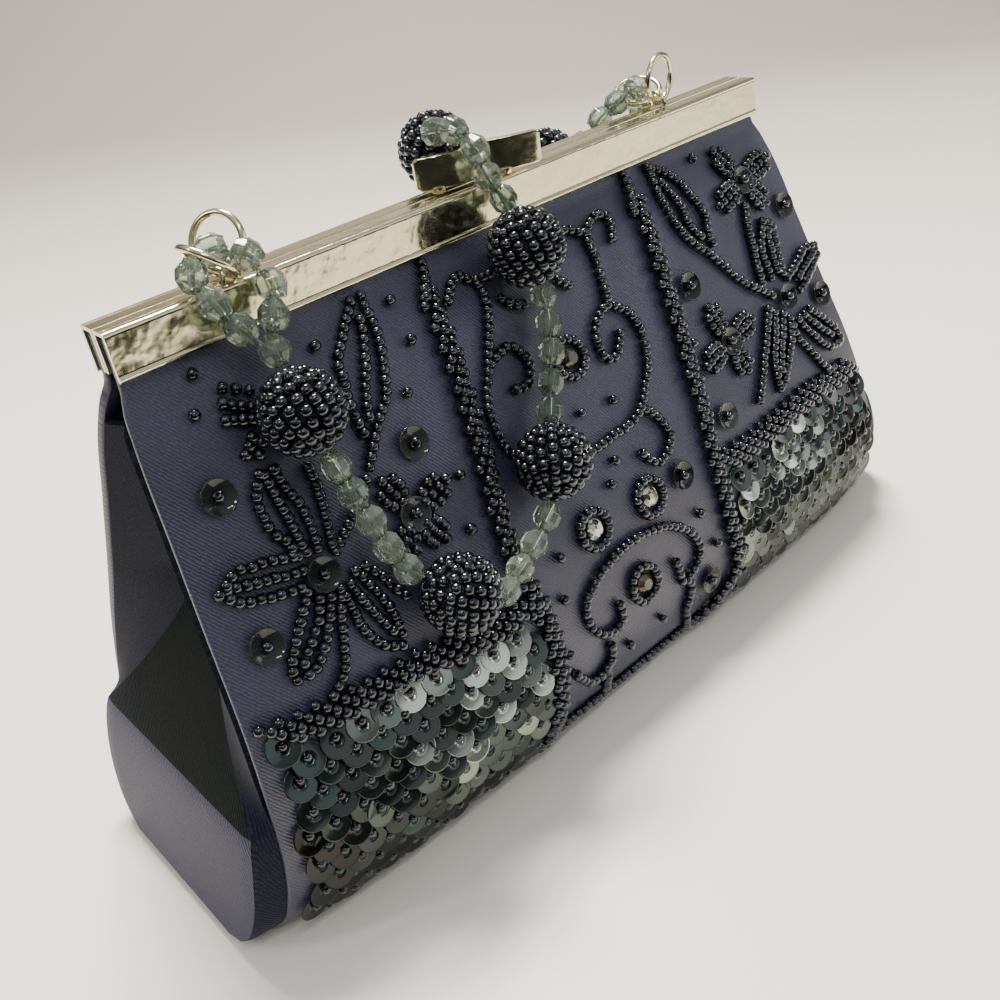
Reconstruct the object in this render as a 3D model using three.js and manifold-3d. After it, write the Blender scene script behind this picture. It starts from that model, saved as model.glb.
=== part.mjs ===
// Beaded evening clutch: a stiffened satin body on a nickel frame, with a bead strap.
// Millimetres. X runs along the frame, the front faces -Y, Z is up, and the origin
// lies on the table under the middle of the bag.
import * as THREE from "three";
import { mergeVertices } from "three/addons/utils/BufferGeometryUtils.js";
import Module from "manifold-3d";

const wasm = await Module();
wasm.setup();

// Driving dimensions of the body
const bagHeight = 120;
const bodyLength = 224.6;
const bodyDepth = 70;
const boardThickness = 2;
const gussetThickness = 1.5;
const bellyPuff = 4.5;
const seatGap = 0.3;
const seamStep = 0.05;

// Driving dimensions of the frame
const frameLength = 180;
const frameDepth = 9.6;
const frameFaceHeight = 8.2;
const frameBevel = 0.8;
const frameSheet = 0.8;
const frameLip = 0.4;
const frameSplit = 0.3;

// Driving dimensions of the side folds
const hemHeight = 94;
const foldApexHeight = 68;
const foldApexInset = 84;
const ridgeHeight = 30;
const ridgeReach = 4;
const bellyCurve = 0.8;
const seamInset = 1.2;

// Driving dimensions of the clasp, the eyelets and the rings
const claspLength = 15;
const claspHeight = 6.6;
const claspSheet = 1.4;
const claspCorner = 1.2;
const claspCornerEase = 0.25;
const claspBow = 0.9;
const claspFootLength = 5;
const claspFootRise = 0.7;
const ringWire = 1.3;
const ringRadius = 5.3;
const eyeletWire = 0.9;
const eyeletRadius = 2.66;
const eyeletLeg = 0.25;

// Driving dimensions of the strap beads and the trimmings on the front
const facetBeadLength = 5.6;
const facetBeadDiameter = 5.8;
const threadDiameter = 0.9;
const stringGap = 0.6;
const ballDiameter = 16.4;
const ballStandoff = 0.45;
const crystalDiameter = 4.8;
const crystalHeight = 1.8;
const sequinDiameter = 7;
const sequinCup = 0.7;
const sequinGap = 0.5;
const sequinSheet = 0.3;
const fieldCourses = 9;
const fieldLift = 0.6;
const fieldRise = 0.5;
const fieldStep = 1.3;

const halfFrame = frameDepth / 2;
const faceBottom = bagHeight - frameFaceHeight;
const channelOuter = halfFrame - frameSheet;
const mouthHalfDepth = channelOuter - seatGap;
const mouthHeight = faceBottom - frameLip * 3;
const mouthHalfLength = frameLength / 2 - seatGap;

// The places of the trimmings along the front are given for a body of 224.6 mm, and
// follow its length.
const trimUnit = bodyLength / 224.6;

// Half section of the body from the frame's mouth to the middle of the bottom.
// down is a share of the mouth's height, out of the way from the mouth to the full depth,
// wide of the way from the mouth's length to the full length, puff of the belly's puff.
const bodySections = [
  { down: 0.041, out: 0.058, wide: 0.07, puff: 0.2 },
  { down: 0.09, out: 0.144, wide: 0.125, puff: 0.4 },
  { down: 0.235, out: 0.35, wide: 0.217, puff: 0.6 },
  { down: 0.394, out: 0.574, wide: 0.314, puff: 0.75 },
  { down: 0.532, out: 0.778, wide: 0.398, puff: 0.9 },
  { down: 0.683, out: 0.933, wide: 0.496, puff: 1 },
  { down: 0.783, out: 0.994, wide: 0.562, puff: 1 },
  { down: 0.869, out: 0.974, wide: 0.633, puff: 1 },
  { down: 0.946, out: 0.856, wide: 0.69, puff: 0.95 },
  { down: 0.986, out: 0.696, wide: 0.775, puff: 0.9 },
  { down: 1, out: 0.52, wide: 0.912, puff: 0.7 },
  { down: 1, out: 0.23, wide: 0.987, puff: 0.3 },
];

const group = new THREE.Group();

function addPiece(name, geometry, look) {
  const mesh = new THREE.Mesh(geometry, new THREE.MeshStandardMaterial(look));
  mesh.name = name;
  group.add(mesh);
  return mesh;
}

const satin = { color: 0x4b4a5e, roughness: 0.6, metalness: 0 };
const nickel = { color: 0xc9c6b8, roughness: 0.15, metalness: 1 };
const seedBeadDark = { color: 0x252a38, roughness: 0.3, metalness: 0.7 };
const clearAcrylic = { color: 0x9fb0ab, roughness: 0.1, metalness: 0 };
const darkSequin = { color: 0x33383a, roughness: 0.2, metalness: 0.8 };
const clearCrystal = { color: 0xe6ebee, roughness: 0.05, metalness: 0 };
const smokeCrystal = { color: 0x4a3d22, roughness: 0.05, metalness: 0 };

const lerp = THREE.MathUtils.lerp;

// A closed solid through rings of equal length. Each ring runs along one side of a wall
// and back along the other, so its two ends are capped by a strip between the sides.
function loft(rings) {
  const count = rings[0].length;
  const positions = rings.flat().flatMap((p) => [p.x, p.y, p.z]);
  const index = [];
  for (let r = 0; r + 1 < rings.length; r++) {
    for (let i = 0; i < count; i++) {
      const a = r * count + i;
      const b = r * count + ((i + 1) % count);
      index.push(a, b, b + count, a, b + count, a + count);
    }
  }
  const last = (rings.length - 1) * count;
  for (let i = 0; i + 1 < count / 2; i++) {
    const j = count - 1 - i;
    index.push(i, j, j - 1, i, j - 1, i + 1);
    index.push(last + i, last + j - 1, last + j, last + i, last + i + 1, last + j - 1);
  }
  return outward(positions, index);
}

// Turns all faces round where the mesh came out inside out.
function outward(positions, index) {
  const corner = (i) => new THREE.Vector3().fromArray(positions, index[i] * 3);
  let volume = 0;
  for (let i = 0; i < index.length; i += 3) {
    volume += corner(i).dot(corner(i + 1).cross(corner(i + 2)));
  }
  if (volume < 0) {
    index.reverse();
  }
  const geometry = new THREE.BufferGeometry();
  geometry.setAttribute("position", new THREE.Float32BufferAttribute(positions, 3));
  geometry.setIndex(index);
  return geometry;
}

// One row of the body's section on the front half, in millimetres.
function bodyRow(section) {
  return {
    y: -lerp(mouthHalfDepth, bodyDepth / 2, section.out),
    z: mouthHeight * (1 - section.down),
    halfLength: lerp(mouthHalfLength, bodyLength / 2, section.wide),
    puff: bellyPuff * section.puff,
  };
}

// All rows from the front top edge, inside the frame, to the middle of the bottom,
// each with the outward normal of the section.
function frontRows() {
  const panelTop = bagHeight - frameSheet - seatGap;
  const rows = [
    { y: -mouthHalfDepth, z: panelTop, halfLength: mouthHalfLength, puff: 0 },
    { y: -mouthHalfDepth, z: mouthHeight, halfLength: mouthHalfLength, puff: 0 },
    ...bodySections.map(bodyRow),
    { y: 0, z: 0, halfLength: bodyLength / 2, puff: 0 },
  ];
  rows.forEach((row, i) => {
    const before = rows[Math.max(i - 1, 0)];
    const after = rows[i + 1] ?? { y: -rows[i - 1].y, z: row.z };
    const along = new THREE.Vector2(after.y - before.y, after.z - before.z).normalize();
    row.normal = new THREE.Vector2(along.y, -along.x);
    if (row.z === 0) {
      row.normal.set(0, -1);
    }
  });
  return rows;
}

const rows = frontRows();

// Place along the front section: s counts the rows from the frame's mouth downwards.
const firstRow = 1;

function rowAt(s) {
  const k = Math.min(Math.floor(s), rows.length - 2 - firstRow);
  const a = rows[k + firstRow];
  const b = rows[k + 1 + firstRow];
  const t = s - k;
  return {
    y: lerp(a.y, b.y, t),
    z: lerp(a.z, b.z, t),
    halfLength: lerp(a.halfLength, b.halfLength, t),
    puff: lerp(a.puff, b.puff, t),
    normal: a.normal.clone().lerp(b.normal, t).normalize(),
  };
}

// How far the belly stands out at a share of the row's half length.
function puffAt(row, share) {
  return row.puff * (1 - share ** 4);
}

// A point on the front, x along the bag and lift above the satin.
function onFront(x, s, lift) {
  const row = rowAt(s);
  const y = row.y - puffAt(row, x / row.halfLength) + row.normal.x * lift;
  return new THREE.Vector3(x, y, row.z + row.normal.y * lift);
}

// Satin over stiff board, one piece from the front edge under the bag to the rear edge.
function makeBody() {
  const shares = [-1, -0.93, -0.75, -0.42, 0, 0.42, 0.75, 0.93, 1];
  const ring = (row, side) => {
    const outer = shares.map((share) => {
      const y = row.y - puffAt(row, share);
      return new THREE.Vector3(share * row.halfLength, side * y, row.z);
    });
    const inset = new THREE.Vector3(0, side * row.normal.x, row.normal.y);
    const inner = outer.map((p) => p.clone().addScaledVector(inset, -boardThickness));
    return [...outer, ...inner.reverse()];
  };
  const front = rows.map((row) => ring(row, 1));
  const rear = rows.slice(0, -1).reverse().map((row) => ring(row, -1));
  return loft([...front, ...rear]);
}

// Half depth of the room inside the body, and the body's half length, at a height.
function insideAt(z) {
  const edge = rows.slice(firstRow).map((row) => ({
    y: -row.y + row.normal.x * (boardThickness + seatGap),
    z: row.z - row.normal.y * (boardThickness + seatGap),
    halfLength: row.halfLength,
  }));
  const k = edge.findIndex((p, i) => i > 0 && p.z <= z);
  const a = edge[k - 1];
  const b = edge[k];
  const t = (a.z - z) / (a.z - b.z);
  return { y: lerp(a.y, b.y, t), halfLength: lerp(a.halfLength, b.halfLength, t) };
}

// Side fold. Above the apex the cloth is folded in to a valley, a triangle slopes from
// the apex out to the ridge, and below the ridge the cloth bellies out to the bottom.
function makeGusset(side) {
  const floor = boardThickness + seatGap;
  const heights = [
    hemHeight,
    lerp(hemHeight, foldApexHeight, 0.5),
    foldApexHeight,
    lerp(foldApexHeight, ridgeHeight, 0.25),
    lerp(foldApexHeight, ridgeHeight, 0.5),
    lerp(foldApexHeight, ridgeHeight, 0.75),
    ridgeHeight,
    lerp(ridgeHeight, floor, 0.3),
    lerp(ridgeHeight, floor, 0.58),
    lerp(ridgeHeight, floor, 0.8),
    lerp(ridgeHeight, floor, 0.93),
    floor + seamStep,
  ];
  const hemInset = frameLength / 2 - seamInset;
  const bottomReach = bodyLength / 2 - seamInset / 2;
  const ridgeEdge = insideAt(ridgeHeight).halfLength - seamInset;
  const leastCrease = 0.08;
  const rings = heights.map((z) => {
    const inside = insideAt(z);
    const edge = inside.halfLength - seamInset;
    const below = THREE.MathUtils.clamp((ridgeHeight - z) / (ridgeHeight - floor), 0, 1);
    const slope = THREE.MathUtils.clamp(
      (foldApexHeight - z) / (foldApexHeight - ridgeHeight),
      0,
      1,
    );
    const rise = (z - foldApexHeight) / (hemHeight - foldApexHeight);
    const crease = lerp(leastCrease, 1 - leastCrease, slope);
    let middle = lerp(foldApexInset, hemInset, Math.max(rise, 0));
    if (slope > 0) {
      middle = lerp(foldApexInset, ridgeEdge + ridgeReach, slope);
    }
    if (below > 0) {
      middle = lerp(ridgeEdge + ridgeReach, bottomReach, below ** bellyCurve);
    }
    const shares = [-1, -(1 + crease) / 2, -crease, -crease / 2, 0];
    const across = [...shares, ...shares.slice(0, -1).map((share) => -share).reverse()];
    const outer = across.map((share) => {
      const past = Math.max(Math.abs(share) - crease, 0) / (1 - crease);
      const x = lerp(middle, edge, past) - Math.abs(share) * slope * seatGap;
      return new THREE.Vector3(side * x, share * inside.y, z);
    });
    const inner = outer.map((p) => new THREE.Vector3(p.x - side * gussetThickness, p.y, p.z));
    return [...outer, ...inner.reverse()];
  });
  return loft(rings);
}

// One half of the frame: a channel over the edge of the body, with a rolled lower lip.
function makeFrameHalf(side) {
  const inner = frameSplit / 2;
  const lipBottom = faceBottom - frameLip * 2;
  const outline = [
    [inner, bagHeight],
    [halfFrame - frameBevel, bagHeight],
    [halfFrame, bagHeight - frameBevel],
    [halfFrame, faceBottom + frameLip],
    [halfFrame + frameLip, faceBottom],
    [halfFrame + frameLip, lipBottom + frameLip / 2],
    [halfFrame, lipBottom],
    [channelOuter, lipBottom + frameLip],
    [channelOuter, bagHeight - frameSheet],
    [inner + frameSheet, bagHeight - frameSheet],
    [inner + frameSheet, faceBottom],
    [inner, faceBottom],
  ];
  const shape = new THREE.Shape(outline.map(([y, z]) => new THREE.Vector2(side * y, z)));
  const bar = new THREE.ExtrudeGeometry(shape, { depth: frameLength, bevelEnabled: false });
  const turn = new THREE.Matrix4().makeBasis(
    new THREE.Vector3(0, 1, 0),
    new THREE.Vector3(0, 0, 1),
    new THREE.Vector3(1, 0, 0),
  );
  bar.applyMatrix4(turn);
  bar.translate(-frameLength / 2, 0, 0);
  return bar;
}

function toSolid(geometry) {
  const bare = geometry.clone();
  bare.deleteAttribute("normal");
  bare.deleteAttribute("uv");
  const merged = mergeVertices(bare, 1e-4);
  return new wasm.Manifold(
    new wasm.Mesh({
      numProp: 3,
      vertProperties: new Float32Array(merged.attributes.position.array),
      triVerts: new Uint32Array(merged.index.array),
    }),
  );
}

function toGeometry(solid) {
  const mesh = solid.getMesh();
  const geometry = new THREE.BufferGeometry();
  const positions = new THREE.Float32BufferAttribute(mesh.vertProperties, mesh.numProp);
  geometry.setAttribute("position", positions);
  geometry.setIndex(new THREE.BufferAttribute(mesh.triVerts, 1));
  return geometry;
}

function join(geometries) {
  const solids = geometries.map(toSolid);
  return toGeometry(solids.reduce((sum, solid) => sum.add(solid)));
}

// A clasp bar: a bowed plate that stands on edge across the frame, on a low foot.
const claspPlaces = [
  { name: "clasp_bar_left", x: -9.6, y: -0.3, turn: -0.37, footShare: -0.42 },
  { name: "clasp_bar_right", x: 3.9, y: -3.2, turn: -0.49, footShare: -0.12 },
];

function makeClaspBar(place) {
  const base = bagHeight + seatGap;
  const low = base + claspFootRise;
  const half = claspSheet / 2;
  const stations = [
    { share: -1, cut: claspCorner },
    { share: -0.92, cut: claspCornerEase },
    { share: -0.7, cut: 0 },
    { share: -0.35, cut: 0 },
    { share: 0, cut: 0 },
    { share: 0.35, cut: 0 },
    { share: 0.7, cut: 0 },
    { share: 0.92, cut: claspCornerEase },
    { share: 1, cut: claspCorner },
  ];
  const rings = stations.map(({ share, cut }) => {
    const x = (share * claspLength) / 2;
    const y = -claspBow * (1 - share * share);
    return [
      new THREE.Vector3(x, y - half, low + cut),
      new THREE.Vector3(x, y - half, low + claspHeight - cut),
      new THREE.Vector3(x, y + half, low + claspHeight - cut),
      new THREE.Vector3(x, y + half, low + cut),
    ];
  });
  const foot = new THREE.BoxGeometry(claspFootLength, claspSheet, claspFootRise * 2);
  const footX = (place.footShare * claspLength) / 2;
  const footY = -claspBow * (1 - place.footShare ** 2);
  foot.translate(footX, footY, base + claspFootRise);
  const bar = join([loft(rings), foot]);
  bar.rotateZ(place.turn);
  bar.translate(place.x, place.y, 0);
  return bar;
}

// Eyelets soldered on the frame, and the two rings that hang in each.
const eyeletPlaces = [
  { name: "eyelet_left", x: -64.2, y: -2.3, turn: 0.63 },
  { name: "eyelet_right", x: 59.4, y: 2.4, turn: Math.PI / 2 },
];

const ringPlaces = [
  { name: "ring_left_upright", x: -63.1, y: 1, up: 5.8, facing: [0.81, 0.46, -0.37] },
  { name: "ring_left_strap", x: -68.4, y: -4.7, up: 5, facing: [0.7, 0.06, 0.72] },
  { name: "ring_right_upright", x: 59.8, y: 1.3, up: 6.2, facing: [-0.16, 0.98, 0.06] },
  { name: "ring_right_strap", x: 59.6, y: 8.1, up: 3.1, facing: [0.3, 0.26, -0.92] },
];

function makeEyelet(place) {
  const foot = bagHeight + seatGap;
  const centre = foot + eyeletLeg;
  const points = [new THREE.Vector3(-eyeletRadius, 0, foot)];
  const arcSteps = 8;
  for (let i = 0; i <= arcSteps; i++) {
    const angle = Math.PI * (1 - i / arcSteps);
    const x = Math.cos(angle) * eyeletRadius;
    points.push(new THREE.Vector3(x, 0, centre + Math.sin(angle) * eyeletRadius));
  }
  points.push(new THREE.Vector3(eyeletRadius, 0, foot));
  const sides = 6;
  const rings = points.map((p, i) => {
    const before = points[Math.max(i - 1, 0)];
    const after = points[Math.min(i + 1, points.length - 1)];
    const along = after.clone().sub(before).normalize();
    if (i === 0 || i === points.length - 1) {
      along.set(0, 0, i === 0 ? 1 : -1);
    }
    const across = new THREE.Vector3(0, 1, 0);
    const outwardAxis = across.clone().cross(along);
    return Array.from({ length: sides }, (_, k) => {
      const angle = (2 * Math.PI * k) / sides;
      return p
        .clone()
        .addScaledVector(across, (Math.cos(angle) * eyeletWire) / 2)
        .addScaledVector(outwardAxis, (Math.sin(angle) * eyeletWire) / 2);
    });
  });
  const arch = loft(rings);
  arch.rotateZ(place.turn);
  arch.translate(place.x, place.y, 0);
  return arch;
}

function makeRing(place) {
  const ring = new THREE.TorusGeometry(ringRadius, ringWire / 2, 6, 16);
  const facing = new THREE.Vector3(...place.facing).normalize();
  const turn = new THREE.Quaternion().setFromUnitVectors(new THREE.Vector3(0, 0, 1), facing);
  ring.applyQuaternion(turn);
  ring.translate(place.x, place.y, bagHeight + place.up);
  return ring;
}

// The strap's route from the left ring over the front and the clasp to the right ring.
// A place on the front has s and lift, any other place has y and up from the frame's top.
// A ball on the front lies on the beadwork, so its lift isn't given. Balls stand between
// runs of faceted beads, and a closed loop of beads ends each side.
const ballLift = ballDiameter / 2 + ballStandoff;

const strapLoops = [
  {
    name: "bead_loop_left",
    knot: { x: -65, y: -13, up: -11.2 },
    beads: [
      { x: -62.5, y: -11.3, up: -5.8 },
      { x: -59.9, y: -8.5, up: -1.4 },
      { x: -62.4, y: -7.3, up: 4.7 },
      { x: -66.6, y: -3.1, up: 6.3 },
      { x: -71.6, y: -3.5, up: 3.35 },
      { x: -71.3, y: -8.3, up: -1 },
      { x: -69.3, y: -11.5, up: -5.8 },
    ],
  },
  {
    name: "bead_loop_right",
    knot: { x: 42.6, y: 12.6, up: -5.4 },
    beads: [
      { x: 46.1, y: 8.8, up: -0.3 },
      { x: 50.8, y: 7.3, up: 2.5 },
      { x: 57, y: 6.5, up: 4.6 },
      { x: 60.3, y: 8.5, up: -0.7 },
      { x: 59.6, y: 11.6, up: -6 },
      { x: 53.9, y: 13.3, up: -7.1 },
      { x: 48.1, y: 12.9, up: -7.6 },
    ],
  },
];

const strapBalls = [
  { x: -66.4, s: 2.3 },
  { x: -53.4, s: 4.73 },
  { x: -20.9, s: 3.98 },
  { x: -5.8, y: -16.5, up: -11.3 },
  { x: -3.2, y: 11.1, up: 5.4 },
  { x: 31.4, y: 13.8, up: -7.3 },
];

// Between two balls the thread follows the way points, and its beads share the length.
const strapRuns = [
  {
    beads: 5,
    way: [
      { x: -64.5, s: 2.97, lift: 7.4 },
      { x: -62.9, s: 3.6, lift: 7.4 },
      { x: -60.1, s: 4.2, lift: 6.5 },
    ],
  },
  {
    beads: 4,
    way: [
      { x: -42.6, s: 5.03, lift: 7 },
      { x: -37.2, s: 4.91, lift: 6 },
      { x: -26.9, s: 4.56, lift: 6.7 },
    ],
  },
  {
    beads: 5,
    way: [
      { x: -13.8, s: 3.51, lift: 5.1 },
      { x: -8, s: 2.95, lift: 5.9 },
      { x: -3.2, s: 2.34, lift: 4.8 },
    ],
  },
  {
    beads: 5,
    way: [
      { x: -3.7, y: -9.1, up: -2.8 },
      { x: -6.5, y: -8.4, up: 2.6 },
      { x: -8, y: -7.5, up: 8.3 },
      { x: -8.9, y: -2.8, up: 11.8 },
      { x: -9.1, y: 2.9, up: 11.2 },
    ],
  },
  {
    beads: 5,
    way: [
      { x: 0.2, y: 12.2, up: -5.5 },
      { x: 9.4, y: 12.1, up: -12.2 },
      { x: 20.3, y: 10.9, up: -9.1 },
    ],
  },
];

function placeOf(point) {
  if (point.s !== undefined) {
    return onFront(point.x, point.s, point.lift ?? ballLift);
  }
  return new THREE.Vector3(point.x, point.y, bagHeight + point.up);
}

// Turns a shape made along Y to lie along a direction at a place.
function alongDirection(geometry, direction, place) {
  const up = new THREE.Vector3(0, 1, 0);
  const turn = new THREE.Quaternion().setFromUnitVectors(up, direction.clone().normalize());
  geometry.applyQuaternion(turn);
  geometry.translate(place.x, place.y, place.z);
  return geometry;
}

// A faceted bead: a straight middle band between two bands that narrow to flat ends.
function makeFacetBead(place, direction) {
  const half = facetBeadLength / 2;
  const radius = facetBeadDiameter / 2;
  const endRadius = radius * 0.5;
  const halfBand = half * 0.34;
  const facets = 10;
  const profile = [
    new THREE.Vector2(0, -half),
    new THREE.Vector2(endRadius, -half),
    new THREE.Vector2(radius, -halfBand),
    new THREE.Vector2(radius, halfBand),
    new THREE.Vector2(endRadius, half),
    new THREE.Vector2(0, half),
  ];
  return alongDirection(new THREE.LatheGeometry(profile, facets), direction, place);
}

function makeThread(from, to) {
  const along = to.clone().sub(from);
  const middle = from.clone().add(to).multiplyScalar(0.5);
  const thread = new THREE.CylinderGeometry(
    threadDiameter / 2,
    threadDiameter / 2,
    along.length(),
    6,
  );
  return alongDirection(thread, along, middle);
}

// Beads on the thread between two balls, clear of both.
function makeBeadRun(run, from, to) {
  const points = [from, ...run.way.map(placeOf), to];
  const thread = new THREE.CatmullRomCurve3(points, false, "centripetal");
  const length = thread.getLength();
  const first = ballDiameter / 2 + stringGap + facetBeadLength / 2;
  const pitch = (length - first * 2) / (run.beads - 1);
  const stations = Array.from({ length: run.beads }, (_, i) => (first + pitch * i) / length);
  const places = stations.map((station) => thread.getPointAt(station));
  const pieces = places.map((p, i) => makeFacetBead(p, thread.getTangentAt(stations[i])));
  for (let i = 0; i + 1 < places.length; i++) {
    pieces.push(makeThread(places[i], places[i + 1]));
  }
  return join(pieces);
}

function makeBeadLoop(loop, nextBall) {
  const knot = placeOf(loop.knot);
  const places = loop.beads.map(placeOf);
  const ring = [knot, ...places, knot];
  const pieces = places.map((p, i) => makeFacetBead(p, ring[i + 2].clone().sub(ring[i])));
  pieces.push(makeFacetBead(knot, nextBall.clone().sub(knot)));
  for (let i = 0; i + 1 < ring.length; i++) {
    pieces.push(makeThread(ring[i], ring[i + 1]));
  }
  return join(pieces);
}

function makeBall(place, before, after) {
  const ball = new THREE.SphereGeometry(ballDiameter / 2, 12, 8);
  return alongDirection(ball, after.clone().sub(before), place);
}

// Stones and cupped sequins on the front: x in millimetres, s in rows of the section.
const crystalPlaces = [
  { name: "crystal_clear_left", x: -12.5, s: 5.13, look: clearCrystal },
  { name: "crystal_clear_right", x: 6.2, s: 5.21, look: clearCrystal },
  { name: "crystal_smoke_upper", x: 0.1, s: 3.13, look: smokeCrystal },
  { name: "crystal_smoke_lower", x: -3, s: 6.32, look: smokeCrystal },
];

const cupPlaces = [
  { name: "sequin_cup_upper_left", x: -84, s: 2.78 },
  { name: "sequin_cup_upper_right", x: 88, s: 2.8 },
  { name: "sequin_cup_inner_left", x: -44.5, s: 3.18 },
  { name: "sequin_cup_inner_right", x: 42.7, s: 3.12 },
  { name: "sequin_cup_outer_left", x: -88.4, s: 4.26 },
  { name: "sequin_cup_outer_right", x: 91.2, s: 4.16 },
  { name: "sequin_cup_middle_upper", x: 38.3, s: 4.88 },
  { name: "sequin_cup_middle", x: 17.6, s: 5.24 },
  { name: "sequin_cup_lower", x: 19.2, s: 7.55 },
];

// The seat of a trimming on the front, with the direction away from the satin.
function seatOf(place, lift) {
  const row = rowAt(place.s);
  return {
    place: onFront(place.x * trimUnit, place.s, lift),
    direction: new THREE.Vector3(0, row.normal.x, row.normal.y),
  };
}

// A flat-backed stone with a round girdle, eight facets and a table.
function makeCrystal(place) {
  const radius = crystalDiameter / 2;
  const tableRadius = radius * 0.55;
  const girdleHeight = crystalHeight * 0.3;
  const facets = 8;
  const profile = [
    new THREE.Vector2(0, 0),
    new THREE.Vector2(radius, 0),
    new THREE.Vector2(radius, girdleHeight),
    new THREE.Vector2(tableRadius, crystalHeight),
    new THREE.Vector2(0, crystalHeight),
  ];
  const stone = new THREE.LatheGeometry(profile, facets);
  const seat = seatOf(place, seatGap);
  return alongDirection(stone, seat.direction, seat.place);
}

// A single sequin, cupped away from the satin, with a closed middle.
function makeSequinCup(place) {
  const radius = sequinDiameter / 2;
  const flatRadius = radius * 0.5;
  const facets = 10;
  const profile = [
    new THREE.Vector2(0, 0),
    new THREE.Vector2(flatRadius, 0),
    new THREE.Vector2(radius, sequinCup),
    new THREE.Vector2(radius, sequinCup + sequinSheet),
    new THREE.Vector2(flatRadius, sequinSheet),
    new THREE.Vector2(0, sequinSheet),
  ];
  const seat = seatOf(place, sequinGap);
  return alongDirection(new THREE.LatheGeometry(profile, facets), seat.direction, seat.place);
}

// Rows of lapped sequins as one stepped sheet, from the slanted border to the bottom.
// x is given at the inner and the outer end of the border and of the lowest row.
const fieldPlace = {
  innerX: 38,
  outerTopX: 94,
  outerBottomX: 99,
  innerTop: 5.5,
  outerTop: 5.2,
  bottom: 9.2,
};

function makeSequinField(side) {
  const columns = 7;
  const courseEnds = [
    { at: 0.02, rise: fieldRise },
    { at: 0.98, rise: fieldStep },
  ];
  const rings = [];
  for (let course = 0; course < fieldCourses; course++) {
    for (const end of courseEnds) {
      const down = (course + end.at) / fieldCourses;
      const outerX = lerp(fieldPlace.outerTopX, fieldPlace.outerBottomX, down);
      const point = (column, rise) => {
        const share = column / (columns - 1);
        const x = side * lerp(fieldPlace.innerX, outerX, share) * trimUnit;
        const top = lerp(fieldPlace.innerTop, fieldPlace.outerTop, share);
        return onFront(x, lerp(top, fieldPlace.bottom, down), fieldLift + rise);
      };
      const outer = Array.from({ length: columns }, (_, i) => point(i, end.rise));
      const inner = Array.from({ length: columns }, (_, i) => point(i, 0));
      rings.push([...outer, ...inner.reverse()]);
    }
  }
  return loft(rings);
}

group.name = "beaded_clutch";
addPiece("satin_body", makeBody(), satin);
addPiece("gusset_left", makeGusset(-1), satin);
addPiece("gusset_right", makeGusset(1), satin);
addPiece("frame_front", makeFrameHalf(-1), nickel);
addPiece("frame_rear", makeFrameHalf(1), nickel);
claspPlaces.forEach((place) => addPiece(place.name, makeClaspBar(place), nickel));
eyeletPlaces.forEach((place) => addPiece(place.name, makeEyelet(place), nickel));
ringPlaces.forEach((place) => addPiece(place.name, makeRing(place), nickel));
const balls = strapBalls.map(placeOf);
const knots = strapLoops.map((loop) => placeOf(loop.knot));
strapLoops.forEach((loop, i) => {
  addPiece(loop.name, makeBeadLoop(loop, i === 0 ? balls[0] : balls[balls.length - 1]), clearAcrylic);
});
strapRuns.forEach((run, i) => {
  addPiece("bead_run_" + (i + 1), makeBeadRun(run, balls[i], balls[i + 1]), clearAcrylic);
});
const turns = [knots[0], ...strapRuns.map((run) => placeOf(run.way[1])), knots[1]];
balls.forEach((ball, i) => {
  addPiece("bead_ball_" + (i + 1), makeBall(ball, turns[i], turns[i + 1]), seedBeadDark);
});
crystalPlaces.forEach((place) => addPiece(place.name, makeCrystal(place), place.look));
cupPlaces.forEach((place) => addPiece(place.name, makeSequinCup(place), darkSequin));
addPiece("sequin_field_left", makeSequinField(-1), darkSequin);
addPiece("sequin_field_right", makeSequinField(1), darkSequin);

export default group;
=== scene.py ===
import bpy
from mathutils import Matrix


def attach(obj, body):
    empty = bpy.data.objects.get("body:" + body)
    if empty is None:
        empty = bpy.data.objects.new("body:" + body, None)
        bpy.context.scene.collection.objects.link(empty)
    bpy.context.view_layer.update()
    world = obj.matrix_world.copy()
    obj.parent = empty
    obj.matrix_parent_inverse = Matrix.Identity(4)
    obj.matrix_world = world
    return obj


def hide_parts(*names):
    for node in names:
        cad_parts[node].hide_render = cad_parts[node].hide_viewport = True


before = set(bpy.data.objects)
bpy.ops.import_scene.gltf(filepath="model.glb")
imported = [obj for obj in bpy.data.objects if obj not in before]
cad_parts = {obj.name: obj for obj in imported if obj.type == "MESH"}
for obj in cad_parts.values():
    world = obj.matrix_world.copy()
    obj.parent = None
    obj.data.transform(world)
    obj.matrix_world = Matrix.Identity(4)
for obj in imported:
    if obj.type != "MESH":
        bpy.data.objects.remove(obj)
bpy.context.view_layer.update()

import math

import bpy
import numpy as np
from mathutils import Matrix, Vector

bpy.ops.object.select_all(action="DESELECT")

# Camera. The clutch is seen from above its front left corner, from about 27 cm, with
# the camera held a little turned.
MM = 0.001
eye = Vector((-143.95, -169.73, 176.53)) * MM
ahead = Vector((0.52654, 0.66942, -0.52406)).normalized()
over = Vector((0.44905, 0.30443, 0.84005))
beside = ahead.cross(over).normalized()
over = beside.cross(ahead)
bpy.ops.object.camera_add()
camera = bpy.context.object
camera.matrix_world = Matrix.Translation(eye) @ Matrix((beside, over, -ahead)).transposed().to_4x4()
camera.data.sensor_width = 36
camera.data.lens = 37.15
camera.data.clip_start = 0.01
bpy.context.scene.camera = camera

# Satin body. One stiff board covered in slate purple duchess satin, folded from the
# frame's mouth down the front, under the bag and up the rear. The satin is turned over
# the board's ends, which show as a thin light edge beside the folded sides.


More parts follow.
